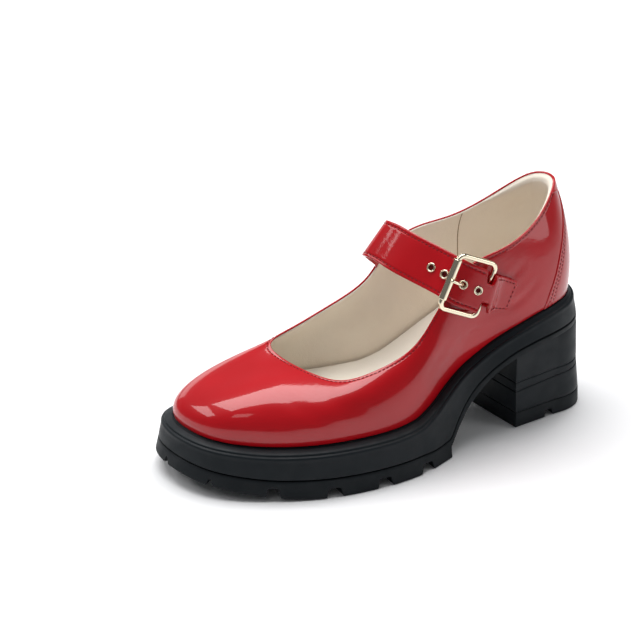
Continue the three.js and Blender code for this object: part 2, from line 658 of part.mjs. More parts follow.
const group = new THREE.Group();
function add(name, geometry, colour, roughness, metalness) {
  const material = new THREE.MeshStandardMaterial({ color: colour, roughness, metalness });
  const mesh = new THREE.Mesh(geometry, material);
  mesh.name = name;
  group.add(mesh);
}
const SOLE_POINTS = 88;
const METAL = [0xd9c49a, 0.18, 1];
add("upper", upperGeometry(96, 14), 0xb4101c, 0.15, 0);
add("midsole", midsoleGeometry(SOLE_POINTS), 0x14171b, 0.6, 0);
add("outsole", outsoleGeometry(SOLE_POINTS), 0x101216, 0.7, 0);
add("heel", heelGeometry(40), 0x14171b, 0.6, 0);
add("top_lift", topLiftGeometry(40), 0x101216, 0.7, 0);
add("insole", insoleGeometry(SOLE_POINTS), 0xe6d3b8, 0.7, 0);
add("strap", strapGeometry(3, 5), 0xb4101c, 0.15, 0);
EYELETS_AT.forEach((t, i) => add(`eyelet_${i + 1}`, eyeletGeometry(t), ...METAL));
add("buckle_frame", frameGeometry(8, 4), ...METAL);
add("buckle_roller", rollerGeometry(), ...METAL);
add("buckle_prong", prongGeometry(8), ...METAL);
export default group;
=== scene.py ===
# A left mary jane shoe in red patent leather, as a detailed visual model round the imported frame.
# Design coordinates are in millimetres: s from the heel's back to the toe, w to the outer (lateral)
# side and z up. Every design point goes through placed(), which gives metres in the row frame.
import math

import bpy
import numpy as np
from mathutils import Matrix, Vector


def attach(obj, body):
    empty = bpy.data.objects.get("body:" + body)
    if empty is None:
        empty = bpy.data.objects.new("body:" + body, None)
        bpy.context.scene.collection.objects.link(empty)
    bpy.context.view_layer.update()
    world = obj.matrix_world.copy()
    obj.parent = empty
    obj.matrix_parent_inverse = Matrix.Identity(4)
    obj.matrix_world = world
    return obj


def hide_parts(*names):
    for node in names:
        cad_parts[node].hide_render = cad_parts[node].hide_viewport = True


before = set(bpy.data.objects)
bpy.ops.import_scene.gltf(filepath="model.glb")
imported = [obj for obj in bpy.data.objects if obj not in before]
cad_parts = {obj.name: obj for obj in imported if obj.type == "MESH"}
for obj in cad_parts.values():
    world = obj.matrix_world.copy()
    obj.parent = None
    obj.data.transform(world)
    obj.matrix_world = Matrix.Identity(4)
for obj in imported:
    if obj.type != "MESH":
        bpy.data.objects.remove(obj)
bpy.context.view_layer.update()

# ---- sizes, as in the CAD, in millimetres ----
CENTRE_S = 124.65  # design s at the origin
CENTRE_W = 0.66  # design w at the origin
GAP = 0.3
UPPER_WALL = 2.0
PATENT = 1.15  # the red leather's own thickness
LINING_DROP = 0.7  # the lining ends this far below the red edge
INSOLE_THICK = 5.4
INSOLE_INSET = 2.9
RIM_DRAFT = 3.4
BEVEL_DROP = 3.8
FOREPART_REAR = 100
BREAST_S = 51.5
BREAST_SLANT = 0.165
TOP_LIFT = 9.2
HEEL_HALF_WIDTH = 26.6
HEEL_FLARE = 3.3
HEEL_ROUND_S = 22
HEEL_SQUARENESS = 0.8
TOE_SPRING = 10
SPRING_START = 176
SPRING_POWER = 1.8
SHOE_LENGTH = 252
STRAP_THICK = 2.2
STRAP_ROOT_REAR = 17.62
STRAP_ROOT_FRONT = 16.45
STRAP_ROOT_GAP = 0.6
WAIST_DEPTH = 0.55  # the strap narrows over the pivot bar: share, and places in rows
WAIST_BEFORE = 0.62
WAIST_AFTER = 0.26
WAIST_SHOULDER = 0.3
EYELETS_AT = (6.85, 7.74, 9.12, 10.35)
ROLLER_AT = 8.22
PIVOT_AT = 11.4
EYELET_OUTER = 2.7
EYELET_INNER = 1.75
WIRE = 1.45
ROLLER_OUTER = 2.35
ROLLER_INNER = 1.85
ROLLER_LONG = 24
BUCKLE_ACROSS = 31.8
BUCKLE_SHIFT = 0.5
BUCKLE_TURN = 4.5  # degrees from square across the strap
BUCKLE_ROUND = 3.5
PRONG = 0.85
PRONG_EYELET = 3  # the eyelet the prong goes through, counted from 1
STITCH_INSET = 2.1  # from the topline or a strap's edge to its stitches

# Ribs round the upper from the heel's back by the lateral side: foot s, w, topline s, w, z,
# outward direction in degrees from the toe, then the foot's handle and the top's handle.
RIBS = np.array([
    (5.5, 0, 14.5, 0, 139.5, 180, 3, 26, 6, 20),
    (14, 18.5, 20, 11, 136, 128, 3, 26, 7, 20),
    (36, 27, 37, 20.5, 123.5, 95, 3, 22, 5, 16),
    (62, 26.5, 61, 26, 115.3, 88, 3, 20, 4, 16),
    (86, 27, 83, 27, 110, 82, 4, 20, 5, 18),
    (106, 33, 101.5, 28.5, 92, 76, 4, 19, 7, 16),
    (126, 39.5, 118.6, 30.5, 72.2, 82, 3, 18, 8, 8),
    (152, 41, 138.5, 29, 62.2, 84, 3, 17, 9, 2),
    (184, 36, 157.5, 23.5, 56.7, 66, 4, 17, 11, 1),
    (212, 23.5, 168.5, 12, 56.2, 48, 4, 18, 19, 1),
    (232, 8, 175, -3, 57, 32, 4, 20, 28, 0),
    (240.5, -12, 179, -15.5, 58.4, 8, 4, 18, 28, 4),
    (239.5, -28, 180, -24.5, 60.3, -22, 4, 17, 23, 6),
    (228, -38, 175, -29, 63, -58, 4, 16, 11, 9),
    (203, -40, 162, -29.5, 67, -84, 4, 15, 8, 12),
    (172, -39, 140, -31.5, 73, -90, 4, 16, 6, 14),
    (140, -34, 117, -31, 84, -98, 3, 20, 5, 18),
    (110, -27, 104, -29.5, 101, -98, 4, 22, 5, 24),
    (82, -23.5, 86, -28, 111.5, -92, 4, 22, 3, 20),
    (54, -25, 62, -26.5, 114.5, -90, 3, 20, 4, 16),
    (30, -26, 38, -22, 124.5, -96, 3, 22, 6, 16),
    (13, -17.5, 21, -12.5, 136.5, -130, 3, 26, 8, 20),
])
RIB_COUNT = len(RIBS)

# Strap stations from the inner side over the instep to the tail: rear edge, then front edge, as s, w, z.
STRAP = np.array([
    (101.5, -27, 117.5, 117, -30, 98.5),
    (107.5, -23, 122.6, 121.8, -25.5, 103),
    (108.5, -18.5, 124.3, 122.9, -20, 105.1),
    (106.3, -11, 124.4, 120.7, -12, 104.9),
    (103, -1, 123, 117.3, -1, 103),
    (99, 9, 121.4, 112.3, 9.5, 100.7),
    (95, 17.5, 119.8, 107, 20, 98.5),
    (91.2, 25.2, 118.1, 102.2, 29.6, 96.2),
    (86, 31, 115, 95.8, 33.6, 91.6),
    (80, 34.5, 111.6, 88.5, 36.1, 88),
    (75, 36, 108.6, 82.9, 37.8, 85.2),
    (69.5, 36.6, 104.6, 76, 37.6, 83.4),
    (63.5, 32.4, 100.6, 70, 32.6, 81.2),
    (57.5, 31.4, 97, 64.8, 31.6, 79.4),
    (52.8, 31.2, 94.2, 60.2, 31.3, 77.8),
])
STRAP_END = float(len(STRAP))

# Sole stations: s, top of the sole, joint of midsole and tread, arch's underside, rim's overhang.
PROFILE = np.array([
    (-8, 72, 56.8, 53.6, 4.2),
    (20, 72, 56.8, 53.6, 4.2),
    (35, 70, 55.8, 52.4, 4.2),
    (50, 65.5, 52.4, 48.5, 4.2),
    (64, 60, 46.2, 42.6, 4.6),
    (79, 52.4, 36.6, 31.6, 5.2),
    (88, 47.8, 28, 22.9, 5.8),
    (94, 44.3, 20, 15, 6.2),
    (101, 40, 10.5, 5.5, 6.6),
    (112, 33.5, 9.6, 0, 7),
    (125, 29.3, 10.5, 0, 7.4),
    (145, 28.2, 10.5, 0, 7.6),
    (205, 28.6, 11.8, 0, 7.4),
    (235, 30.8, 15.2, 0, 7),
    (256, 33, 19.4, 0, 7),
])
# Tread grooves: middle s, w, outward direction, width at the ground, height, length.
LUG_GROOVES = (
    (119.5, 0, 90, 9, 5.5, 140),
    (148.5, 0, 90, 9.5, 5.5, 140),
    (178.5, 0, 90, 9.5, 5.5, 140),
    (209, 33, 60, 8, 5.5, 24),
    (209, -45, -70, 8, 5.5, 24),
    (236, 12, 40, 4.5, 4.5, 24),
    (236, -42, -55, 4.5, 4.5, 24),
    (249, -15, 5, 4.5, 4.5, 24),
)
HEEL_GROOVES = (
    (27.5, 0, 90, 6.5, 4.5, 90),
    (1, 18, 128, 4.5, 4.5, 20),
    (1, -18, -128, 4.5, 4.5, 20),
)
# Soft folds of the upper: start s, z, end s, z, side (+1 lateral), depth and half width.
FOLDS = (
    (74, 84, 46, 104, 1, 0.35, 2.6),
    (80, 76, 42, 82, 1, 0.45, 3.2),
    (60, 74, 36, 92, 1, 0.3, 2.4),
    (98, 62, 72, 70, 1, 0.35, 3.0),
    (118, 52, 96, 72, 1, 0.3, 3.0),
    (176, 50, 150, 44, 1, 0.25, 3.4),
    (198, 54, 176, 40, 1, 0.22, 3.4),
    (84, 92, 60, 100, -1, 0.35, 3.0),
    (96, 80, 66, 78, -1, 0.4, 3.4),
    (130, 62, 104, 80, -1, 0.35, 3.0),
    (160, 52, 138, 58, -1, 0.3, 3.2),
    (40, 92, 24, 110, -1, 0.3, 2.6),
)


# ---- numbers along tables ----
def column(table, index):
    """Monotone cubic through one column of a table whose first column is s."""
    x, y = table[:, 0], table[:, index]
    slope = np.diff(y) / np.diff(x)
    product = slope[:-1] * slope[1:]
    total = slope[:-1] + slope[1:]
    inner = np.where(product > 0, 2 * product / np.where(total == 0, 1, total), 0)
    tangent = np.concatenate([slope[:1], inner, slope[-1:]])

    def value(s):
        i = np.clip(np.searchsorted(x, s, side="left") - 1, 0, len(x) - 2)
        h = x[i + 1] - x[i]
        t = np.clip((s - x[i]) / h, 0, 1)
        start = y[i] * (1 + 2 * t) + h * t * tangent[i]
        end = y[i + 1] * (3 - 2 * t) - h * (1 - t) * tangent[i + 1]
        return start * (1 - t) ** 2 + end * t**2

    return value


feather_z = column(PROFILE, 1)
groove_z = column(PROFILE, 2)
under_z = column(PROFILE, 3)
rim_out = column(PROFILE, 4)


def closed_spline(points):
    """Closed cubic B-spline that passes through the points."""
    n = len(points)
    system = 4 * np.eye(n) + np.roll(np.eye(n), 1, 0) + np.roll(np.eye(n), -1, 0)
    controls = np.linalg.solve(system, 6 * points)

    def value(u):
        u = np.mod(u, n)
        i = np.floor(u).astype(int)
        t = (u - i)[..., None]
        weights = (
            (1 - t) ** 3 / 6,
            (3 * t**3 - 6 * t**2 + 4) / 6,
            (-3 * t**3 + 3 * t**2 + 3 * t + 1) / 6,
            t**3 / 6,
        )
        return sum(weight * controls[(i + k - 1) % n] for k, weight in enumerate(weights))

    return value


def unit(v):
    return v / np.maximum(np.linalg.norm(v, axis=-1, keepdims=True), 1e-9)


def smooth(x):
    x = np.clip(x, 0, 1)
    return x * x * (3 - 2 * x)


# ---- the upper's surface ----
FACE = np.stack([np.cos(np.radians(RIBS[:, 5])), np.sin(np.radians(RIBS[:, 5])), 0 * RIBS[:, 5]], -1)
FOOT = np.stack([RIBS[:, 0], RIBS[:, 1], feather_z(RIBS[:, 0])], -1)
TOP = RIBS[:, 2:5]
BULGE = FOOT + FACE * RIBS[:, 6:7]
BULGE[:, 2] = FOOT[:, 2] + RIBS[:, 7]
REACH = TOP + FACE * RIBS[:, 8:9]
REACH[:, 2] = TOP[:, 2] - RIBS[:, 9]
foot_plan = closed_spline(FOOT)
bulge_line = closed_spline(BULGE)
reach_line = closed_spline(REACH)
top_line = closed_spline(TOP)


def foot_line(u):
    foot = foot_plan(u)
    foot[..., 2] = feather_z(foot[..., 0])
    return foot


def upper_point(u, v):
    u, v = np.broadcast_arrays(np.asarray(u, float), np.asarray(v, float))
    t = v[..., None]
    lower = foot_line(u) * (1 - t) ** 3 + bulge_line(u) * 3 * t * (1 - t) ** 2
    return lower + reach_line(u) * 3 * t**2 * (1 - t) + top_line(u) * t**3


def upper_normal(u, v):
    step = 1e-3
    v = np.clip(v, 0, 1 - step)
    along = upper_point(u + step, v) - upper_point(u - step, v)
    up = upper_point(u, v + step) - upper_point(u, v)
    return unit(np.cross(up, along))


LEVELS = np.linspace(1, 0, 161)


def from_top(u, distance):
    """The level v that lies this far below the topline, measured along the surface."""
    u = np.atleast_1d(u)
    rail = upper_point(u[None, :], LEVELS[:, None])
    run = np.linalg.norm(np.diff(rail, axis=0), axis=-1)
    length = np.concatenate([np.zeros((1, len(u))), np.cumsum(run, axis=0)])
    distance = np.broadcast_to(distance, u.shape)
    return np.array([np.interp(distance[k], length[:, k], LEVELS) for k in range(len(u))])


def fold_height(points):
    """Soft troughs with low ridges beside them, at the places that FOLDS lists."""
    height = np.zeros(points.shape[:-1])
    for s0, z0, s1, z1, side, depth, wide in FOLDS:
        run = np.array([s1 - s0, z1 - z0], float)
        offset = points[..., [0, 2]] - np.array([s0, z0])
        t = offset @ run / (run @ run)
        nearest = np.clip(t, 0, 1)[..., None] * run
        away = np.linalg.norm(offset - nearest, axis=-1) / wide
        fade = np.sin(np.pi * np.clip(t, 0, 1)) ** 0.7
        trough = -np.exp(-(away**2)) + 0.45 * np.exp(-((away - 1.9) ** 2))
        height += depth * fade * trough * (points[..., 1] * side > 0)
    return height


# ---- meshes ----
def placed(points):
    """Design points in metres in the row frame."""
    s, w, z = points[..., 0], points[..., 1], points[..., 2]
    return np.stack([w - CENTRE_W, CENTRE_S - s, z], -1) / 1000


def build(name, points, faces, finish, slot, nodes=(), sharp=40):
    """One object from design points and faces, turned the right way out, riding on the shoe."""
    points = placed(np.asarray(points).reshape(-1, 3))
    faces = [tuple(face) for face in faces]
    first = np.array([(face[0], face[1], face[2]) for face in faces])
    rest = np.array([(face[0], face[2], face[3]) for face in faces if len(face) > 3]).reshape(-1, 3)
    corners = points[np.concatenate([first, rest])]
    volume = np.einsum("ij,ij->i", corners[:, 0], np.cross(corners[:, 1], corners[:, 2])).sum()
    if volume < 0:
        faces = [face[::-1] for face in faces]
    mesh = bpy.data.meshes.new(name)
    mesh.from_pydata(points.tolist(), [], faces)
    mesh.validate()
    mesh.materials.append(finish)
    piece = bpy.data.objects.new(name, mesh)
    bpy.context.scene.collection.objects.link(piece)
    settle(piece, slot, nodes, sharp)
    return piece


def settle(piece, slot, nodes, sharp):
    piece.data.shade_smooth()
    piece.data.set_sharp_from_angle(angle=math.radians(sharp))
    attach(piece, "root")
    if nodes:
        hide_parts(*nodes)


def loft_faces(rings, count, wrap):
    r, i = np.meshgrid(np.arange(rings if wrap else rings - 1), np.arange(count), indexing="ij")
    j = (i + 1) % count
    q = (r + 1) % rings
    quads = np.stack([r * count + i, r * count + j, q * count + j, q * count + i], -1)
    return quads.reshape(-1, 4).tolist()


def rung_cap(start, count, flip):
    """Faces that join point i of a ring with point count - i, right across the shape."""
    faces = []
    for i in range(count // 2):
        a, b, c, d = i, i + 1, count - i - 1, (count - i) % count
        face = [start + k for k in dict.fromkeys((a, b, c, d))]
        if len(face) > 2:
            faces.append(face[::-1] if flip else face)
    return faces


def block(rings):
    """Points and faces of rings that are capped at both ends by rungs."""
    count = rings.shape[1]
    last = (len(rings) - 1) * count
    faces = loft_faces(len(rings), count, False)
    return rings, faces + rung_cap(0, count, True) + rung_cap(last, count, False)


def rod(rings):
    """Points and faces of rings that are capped at both ends by one face."""
    count = rings.shape[1]
    last = (len(rings) - 1) * count
    faces = loft_faces(len(rings), count, False)
    return rings, faces + [list(range(count))[::-1], list(range(last, last + count))]


def carve(piece, cutters):
    """Takes the cutters away from the piece, applies that, and deletes them."""
    for cutter in cutters:
        step = piece.modifiers.new("cut", "BOOLEAN")
        step.object = cutter
        step.operation = "DIFFERENCE"
        step.solver = "MANIFOLD"
    apply_modifiers(piece)
    for cutter in cutters:
        bpy.data.objects.remove(cutter)


def apply_modifiers(piece):
    shown = piece.evaluated_get(bpy.context.evaluated_depsgraph_get())
    mesh = bpy.data.meshes.new_from_object(shown)
    piece.modifiers.clear()
    old = piece.data
    piece.data = mesh
    bpy.data.meshes.remove(old)


def soften(piece, width, angle, segments=2):
    """Rounds the piece's sharp edges by width, in millimetres."""
    step = piece.modifiers.new("soften", "BEVEL")
    step.width = width / 1000
    step.segments = segments
    step.limit_method = "ANGLE"
    step.angle_limit = math.radians(angle)
    step.use_clamp_overlap = True
    step.harden_normals = False
    apply_modifiers(piece)


def raw(name, points, faces):
    """A bare mesh object used as a cutter."""
    mesh = bpy.data.meshes.new(name)
    mesh.from_pydata(placed(np.asarray(points).reshape(-1, 3)).tolist(), [], faces)
    cutter = bpy.data.objects.new(name, mesh)
    bpy.context.scene.collection.objects.link(cutter)
    return cutter


# ---- procedural finishes ----
class Finish:
    """A Principled material with helpers that add detail through nodes."""

    def __init__(self, name, colour, roughness, **values):
        self.material = bpy.data.materials.new(name)
        self.material.use_nodes = True
        self.nodes = self.material.node_tree.nodes
        self.links = self.material.node_tree.links
        self.shader = self.nodes["Principled BSDF"]
        self.shader.inputs["Base Color"].default_value = (*colour, 1)
        self.shader.inputs["Roughness"].default_value = roughness
        for key, value in values.items():
            self.shader.inputs[key.replace("_", " ")].default_value = value
        self.where = self.nodes.new("ShaderNodeTexCoord").outputs["Object"]
        self.height = None

    def node(self, kind, **values):
        """A new shader node of this kind, with these inputs set."""
        node = self.nodes.new(kind)
        for key, value in values.items():
            node.inputs[key.replace("_", " ")].default_value = value
        return node

    def noise(self, cell, detail=3.0, rough=0.5):
        """Noise whose cells are about this many millimetres across."""
        node = self.node("ShaderNodeTexNoise", Scale=1000 / cell, Detail=detail, Roughness=rough)
        self.links.new(self.where, node.inputs["Vector"])
        return node.outputs["Fac"]

    def cells(self, cell):
        """Distance to the middles of cells about this many millimetres across."""
        node = self.node("ShaderNodeTexVoronoi", Scale=1000 / cell)
        self.links.new(self.where, node.inputs["Vector"])
        return node.outputs["Distance"]

    def ramp(self, source, low, high, start=0.0, end=1.0):
        """source between low and high, turned into values from start to end."""
        limits = {"From_Min": low, "From_Max": high, "To_Min": start, "To_Max": end}
        node = self.node("ShaderNodeMapRange", **limits)
        self.links.new(source, node.inputs["Value"])
        return node.outputs["Result"]

    def times(self, a, b):
        node = self.nodes.new("ShaderNodeMath")
        node.operation = "MULTIPLY"
        self.links.new(a, node.inputs[0])
        self.links.new(b, node.inputs[1])
        return node.outputs[0]

    def tint(self, source, colours):
        """Base colour that goes through the colours as source goes from 0 to 1."""
        node = self.nodes.new("ShaderNodeValToRGB")
        stops = node.color_ramp.elements
        while len(stops) < len(colours):
            stops.new(0.5)
        for k, colour in enumerate(colours):
            stops[k].position = k / (len(colours) - 1)
            stops[k].color = (*colour, 1)
        self.links.new(source, node.inputs["Fac"])
        self.links.new(node.outputs["Color"], self.shader.inputs["Base Color"])
        return self

    def rough(self, source, low, high):
        self.links.new(self.ramp(source, 0.3, 0.7, low, high), self.shader.inputs["Roughness"])
        return self

    def bump(self, source, depth, coat=False):
        """Raises the surface by up to depth millimetres where source is 1."""
        node = self.node("ShaderNodeBump", Distance=depth / 1000)
        self.links.new(source, node.inputs["Height"])
        if self.height is not None:
            self.links.new(self.height, node.inputs["Normal"])
        self.height = node.outputs["Normal"]
        self.links.new(self.height, self.shader.inputs["Normal"])
        if coat:
            self.links.new(self.height, self.shader.inputs["Coat Normal"])
        return self

    def near(self, centre, reach):
        """1 at a design point, falling to 0 at reach millimetres from it."""
        spot = self.nodes.new("ShaderNodeVectorMath")
        spot.operation = "DISTANCE"
        spot.inputs[1].default_value = placed(np.array(centre, float))
        self.links.new(self.where, spot.inputs[0])
        return self.ramp(spot.outputs["Value"], 0.0, reach / 1000, 1.0, 0.0)


def patent_finish():
    finish = Finish(
        "red_patent", (0.43, 0.0013, 0.006), 0.35,
        Specular_IOR_Level=0.12, Coat_Weight=0.85, Coat_Roughness=0.05, Coat_IOR=1.5,
    )
    tone = finish.noise(38, 2)
    finish.tint(finish.ramp(tone, 0.3, 0.7), [(0.40, 0.001, 0.005), (0.47, 0.0016, 0.007)])
    finish.bump(finish.noise(22, 2), 0.11, coat=True)
    finish.bump(finish.noise(1.5, 3), 0.012, coat=True)
    crinkle = finish.times(finish.noise(2.6, 4, 0.6), finish.near((66, 34, 92), 46))
    finish.bump(crinkle, 0.2, coat=True)
    vamp = finish.times(finish.noise(2.2, 4, 0.6), finish.near((176, 22, 56), 30))
    finish.bump(vamp, 0.10, coat=True)
    return finish.material


def thread_finish():
    finish = Finish("red_thread", (0.18, 0.002, 0.006), 0.5, Specular_IOR_Level=0.3)
    finish.tint(finish.noise(0.5, 2), [(0.11, 0.001, 0.004), (0.26, 0.003, 0.010)])
    finish.bump(finish.noise(0.25, 2), 0.05)
    return finish.material


def lining_finish():
    finish = Finish("beige_lining", (0.74, 0.62, 0.47), 0.62)
    finish.tint(finish.noise(22, 4), [(0.82, 0.74, 0.63), (0.90, 0.83, 0.72)])
    finish.rough(finish.noise(6, 3), 0.5, 0.72)
    finish.bump(finish.cells(0.75), 0.05)
    finish.bump(finish.noise(5, 4), 0.18)
    return finish.material


def footbed_finish():
    finish = Finish("cream_footbed", (0.84, 0.76, 0.62), 0.6)
    finish.tint(finish.noise(30, 4), [(0.82, 0.765, 0.67), (0.89, 0.84, 0.75)])
    finish.bump(finish.cells(0.7), 0.05)
    finish.bump(finish.noise(4, 3), 0.08)
    return finish.material


def rubber_finish(name, shade, roughness):
    finish = Finish(name, shade, roughness, Specular_IOR_Level=0.22)
    dark = tuple(0.8 * c for c in shade)
    light = tuple(1.25 * c for c in shade)
    finish.tint(finish.noise(26, 4), [dark, light])
    finish.rough(finish.noise(9, 4), roughness - 0.08, roughness + 0.08)
    finish.bump(finish.noise(0.6, 3), 0.03)
    finish.bump(finish.noise(7, 2), 0.10)
    return finish.material


def metal_finish():
    finish = Finish("pale_gold", (0.88, 0.79, 0.60), 0.08, Metallic=1.0)
    finish.rough(finish.noise(2.5, 4), 0.05, 0.12)
    finish.bump(finish.noise(6, 2), 0.04)
    return finish.material


def floor_finish():
    finish = Finish("pale_floor", (0.92, 0.92, 0.93), 0.75)
    finish.tint(finish.noise(900, 2), [(0.91, 0.91, 0.92), (0.93, 0.93, 0.94)])
    return finish.material


RED = patent_finish()
THREAD = thread_finish()
LINING = lining_finish()
FOOTBED = footbed_finish()
RUBBER = rubber_finish("blue_black_rubber", (0.0040, 0.0072, 0.0100), 0.5)
TREAD = rubber_finish("black_tread_rubber", (0.0032, 0.0058, 0.0080), 0.58)
GOLD = metal_finish()


# ---- upper, lining, collar and backstay ----
EDGE = 0.57  # radius of the red leather's rounded top edge


def around(count, start=0.0, end=RIB_COUNT):
    return np.linspace(start, end, count, endpoint=False)


def upper_levels(u, drops, lower_rows):
    """Levels v for each u: the given distances below the topline, then evenly down to the foot."""
    near = np.array([from_top(u, drop) for drop in drops])
    low = np.linspace(1, 0, lower_rows + 1)[1:, None]
    return np.concatenate([near, near[-1] * low])


def make_upper():
    u = around(440)
    drops = EDGE + np.concatenate([np.arange(0, 4, 0.27), np.arange(4, 9, 0.6)])
    levels = upper_levels(u, drops, 74)
    points = upper_point(u[None, :], levels)
    normals = upper_normal(u[None, :], levels)
    below = np.linalg.norm(points - top_line(u)[None, :], axis=-1)
    trough = -0.17 * np.exp(-(((below - STITCH_INSET) / 0.5) ** 2))
    fold = fold_height(points) * smooth((below - 3) / 6)
    outer = points + normals * (trough + fold)[..., None]
    top, out = top_line(u), upper_normal(u, np.full(len(u), 1.0))
    up = unit(top_line(u) - upper_point(u, np.full(len(u), 0.97)))
    centre = top - EDGE * (out + up)
    turns = np.linspace(0, np.pi, 9)[1:-1, None, None]
    roll = centre[None] + EDGE * (np.cos(turns) * out[None] + np.sin(turns) * up[None])
    inner_levels = upper_levels(u, np.array([EDGE, 2.0]), 26)
    inner = upper_point(u[None, :], inner_levels) - upper_normal(u[None, :], inner_levels) * 2 * EDGE
    rings = np.concatenate([outer[::-1], roll, inner])
    faces = loft_faces(len(rings), len(u), True)
    build("upper_patent", rings, faces, RED, "red_patent", ["upper"])


def make_lining():
    u = around(330)
    drops = np.array([LINING_DROP, 1.0, 1.6, 2.6, 4.0])
    levels = upper_levels(u, drops, 44)
    points = upper_point(u[None, :], levels)
    normals = upper_normal(u[None, :], levels)
    depth = np.full(levels.shape, UPPER_WALL)
    depth[0] = UPPER_WALL - 0.45
    depth[1] = UPPER_WALL - 0.12
    inner = points - normals * depth[..., None]
    outer = points - normals * (2 * EDGE + 0.03)
    rings = np.concatenate([inner, outer[::-1]])
    faces = loft_faces(len(rings), len(u), True)
    build("lining", rings, faces, LINING, "lining_leather")


# The collar's creases: place across it, lean over its depth, and how deep it is pressed.
COLLAR_CREASES = ((0.30, 0.10, 0.5), (0.40, 0.06, 0.35), (-0.36, -0.08, 0.45), (0.52, 0.14, 0.3))


def make_collar():
    """The padded heel collar: a crowned pad on the inside of the heel, just below the topline."""
    reach, deep, thick = 2.35, 25.0, 2.9
    side = np.linspace(-1, 1, 121)
    drop = np.linspace(0, 1, 41)
    u = side * reach
    distance = LINING_DROP + 0.25 + drop[:, None] * deep * (1 - 0.35 * side[None, :] ** 2)
    levels = np.array([from_top(u, row) for row in distance])
    points = upper_point(u[None, :], levels)
    normals = upper_normal(u[None, :], levels)
    rise = np.clip(drop / 0.12, 0, 1) ** 0.5
    fall = 1 - smooth((drop - 0.12) / 0.88)
    crown = (1 - side**4)[None, :] * (rise * fall)[:, None]
    creases = np.zeros_like(crown)
    for place, lean, depth in COLLAR_CREASES:
        away = (side[None, :] - place - lean * drop[:, None]) / 0.022
        creases += depth * np.exp(-(away**2)) * np.sin(np.pi * drop)[:, None]
    height = crown * thick - creases * crown
    inner = points - normals * (UPPER_WALL - 0.05 + height)[..., None]
    outer = points - normals * (UPPER_WALL - 0.3)
    rows, columns = inner.shape[:2]
    rings = np.concatenate([inner, outer[:, ::-1]], axis=1)
    piece = build("heel_collar_pad", *rod(rings), LINING, "lining_leather", sharp=60)


# The backstay's edge: level v and how far round it reaches in ribs. It flares out below the topline.
BACKSTAY_EDGE = np.array([
    (0.0, 1.89), (0.08, 1.81), (0.18, 1.70), (0.24, 1.62), (0.43, 1.38), (0.55, 1.17),
    (0.66, 0.92), (0.76, 0.66), (0.84, 0.50), (0.885, 0.55), (0.93, 0.80), (0.97, 1.05), (1.0, 1.18),
])
backstay_reach = column(BACKSTAY_EDGE, 1)


def make_backstay():
    side = np.sin(np.linspace(-1, 1, 91) * np.pi / 2)
    v = np.concatenate([np.linspace(0, 0.8, 60), np.linspace(0.8, 0.99, 50)[1:]])
    u = side[None, :] * backstay_reach(v)[:, None]
    levels = np.broadcast_to(v[:, None], u.shape)
    points = upper_point(u, levels)
    normals = upper_normal(u, levels)
    width = np.linalg.norm(points[:, -1] - points[:, 0], axis=-1)[:, None]
    edge = (1 - np.abs(side))[None, :] * width / 2
    lift = 0.5 * np.sqrt(np.clip(1 - (1 - np.clip(edge / 0.5, 0, 1)) ** 2, 0, 1))
    lift = lift - 0.14 * np.exp(-(((edge - 1.7) / 0.45) ** 2)) - 0.14 * np.exp(-(((edge - 3.4) / 0.45) ** 2))
    outer = points + normals * (lift + fold_height(points) * 0.6)[..., None]
    inner = points - normals * 0.5
    rings = np.concatenate([outer, inner[:, ::-1]], axis=1)
    build("backstay", *rod(rings), RED, "red_patent", sharp=50)


# ---- stitches ----
def stitch_row(name, path, normals, pitch=2.5, long=1.75, thick=0.27):
    """Short threads laid along a path, each one sunk at its ends."""
    run = np.concatenate([[0], np.cumsum(np.linalg.norm(np.diff(path, axis=0), axis=-1))])
    count = int(run[-1] / pitch)
    spots = (np.arange(count) + 0.5) * run[-1] / count

    def at(values, where):
        return np.stack([np.interp(where, run, values[:, k]) for k in range(3)], -1)

    centre = at(path, spots)
    normal = unit(at(normals, spots))
    tangent = unit(at(path, spots + 0.4) - at(path, spots - 0.4))
    across = unit(np.cross(normal, tangent))
    station = np.array([-1, -0.86, -0.5, 0, 0.5, 0.86, 1.0])
    girth = np.array([0.25, 0.75, 1, 1, 1, 0.75, 0.25]) * thick
    sink = np.array([-0.2, -0.07, 0, 0.03, 0, -0.07, -0.2])
    turns = np.linspace(0, 2 * np.pi, 6, endpoint=False)
    a = (station * long / 2)[:, None] + 0 * turns[None, :]
    b = girth[:, None] * np.cos(turns)[None, :]
    c = girth[:, None] * np.sin(turns)[None, :] + sink[:, None] + 0.05
    points = (
        centre[:, None, None]
        + a[None, ..., None] * tangent[:, None, None]
        + b[None, ..., None] * across[:, None, None]
        + c[None, ..., None] * normal[:, None, None]
    )
    _, single = rod(points[0])
    size = len(station) * len(turns)
    faces = [[k * size + i for i in face] for k in range(count) for face in single]
    build(name, points, faces, THREAD, "red_patent")


def topline_stitches():
    u = np.linspace(-4.3, STRAP_ROOT_FRONT - 0.05, 900)
    v = from_top(u, STITCH_INSET)
    normals = upper_normal(u, v)
    stitch_row("stitches_topline", upper_point(u, v) - normals * 0.1, normals)


def backstay_stitches():
    v = np.linspace(0.03, 0.86, 200)
    for side, name in ((1, "lateral"), (-1, "medial")):
        for row, distance in enumerate((1.7, 3.4)):
            edge = backstay_reach(v)
            width = np.linalg.norm(upper_point(edge, v) - upper_point(-edge, v), axis=-1)
            u = side * edge * (1 - 2 * distance / width)
            normals = upper_normal(u, v)
            path = upper_point(u, v) + normals * 0.38
            title = f"stitches_backstay_{name}_{row + 1}"
            stitch_row(title, path, normals, pitch=2.2, long=1.5, thick=0.22)


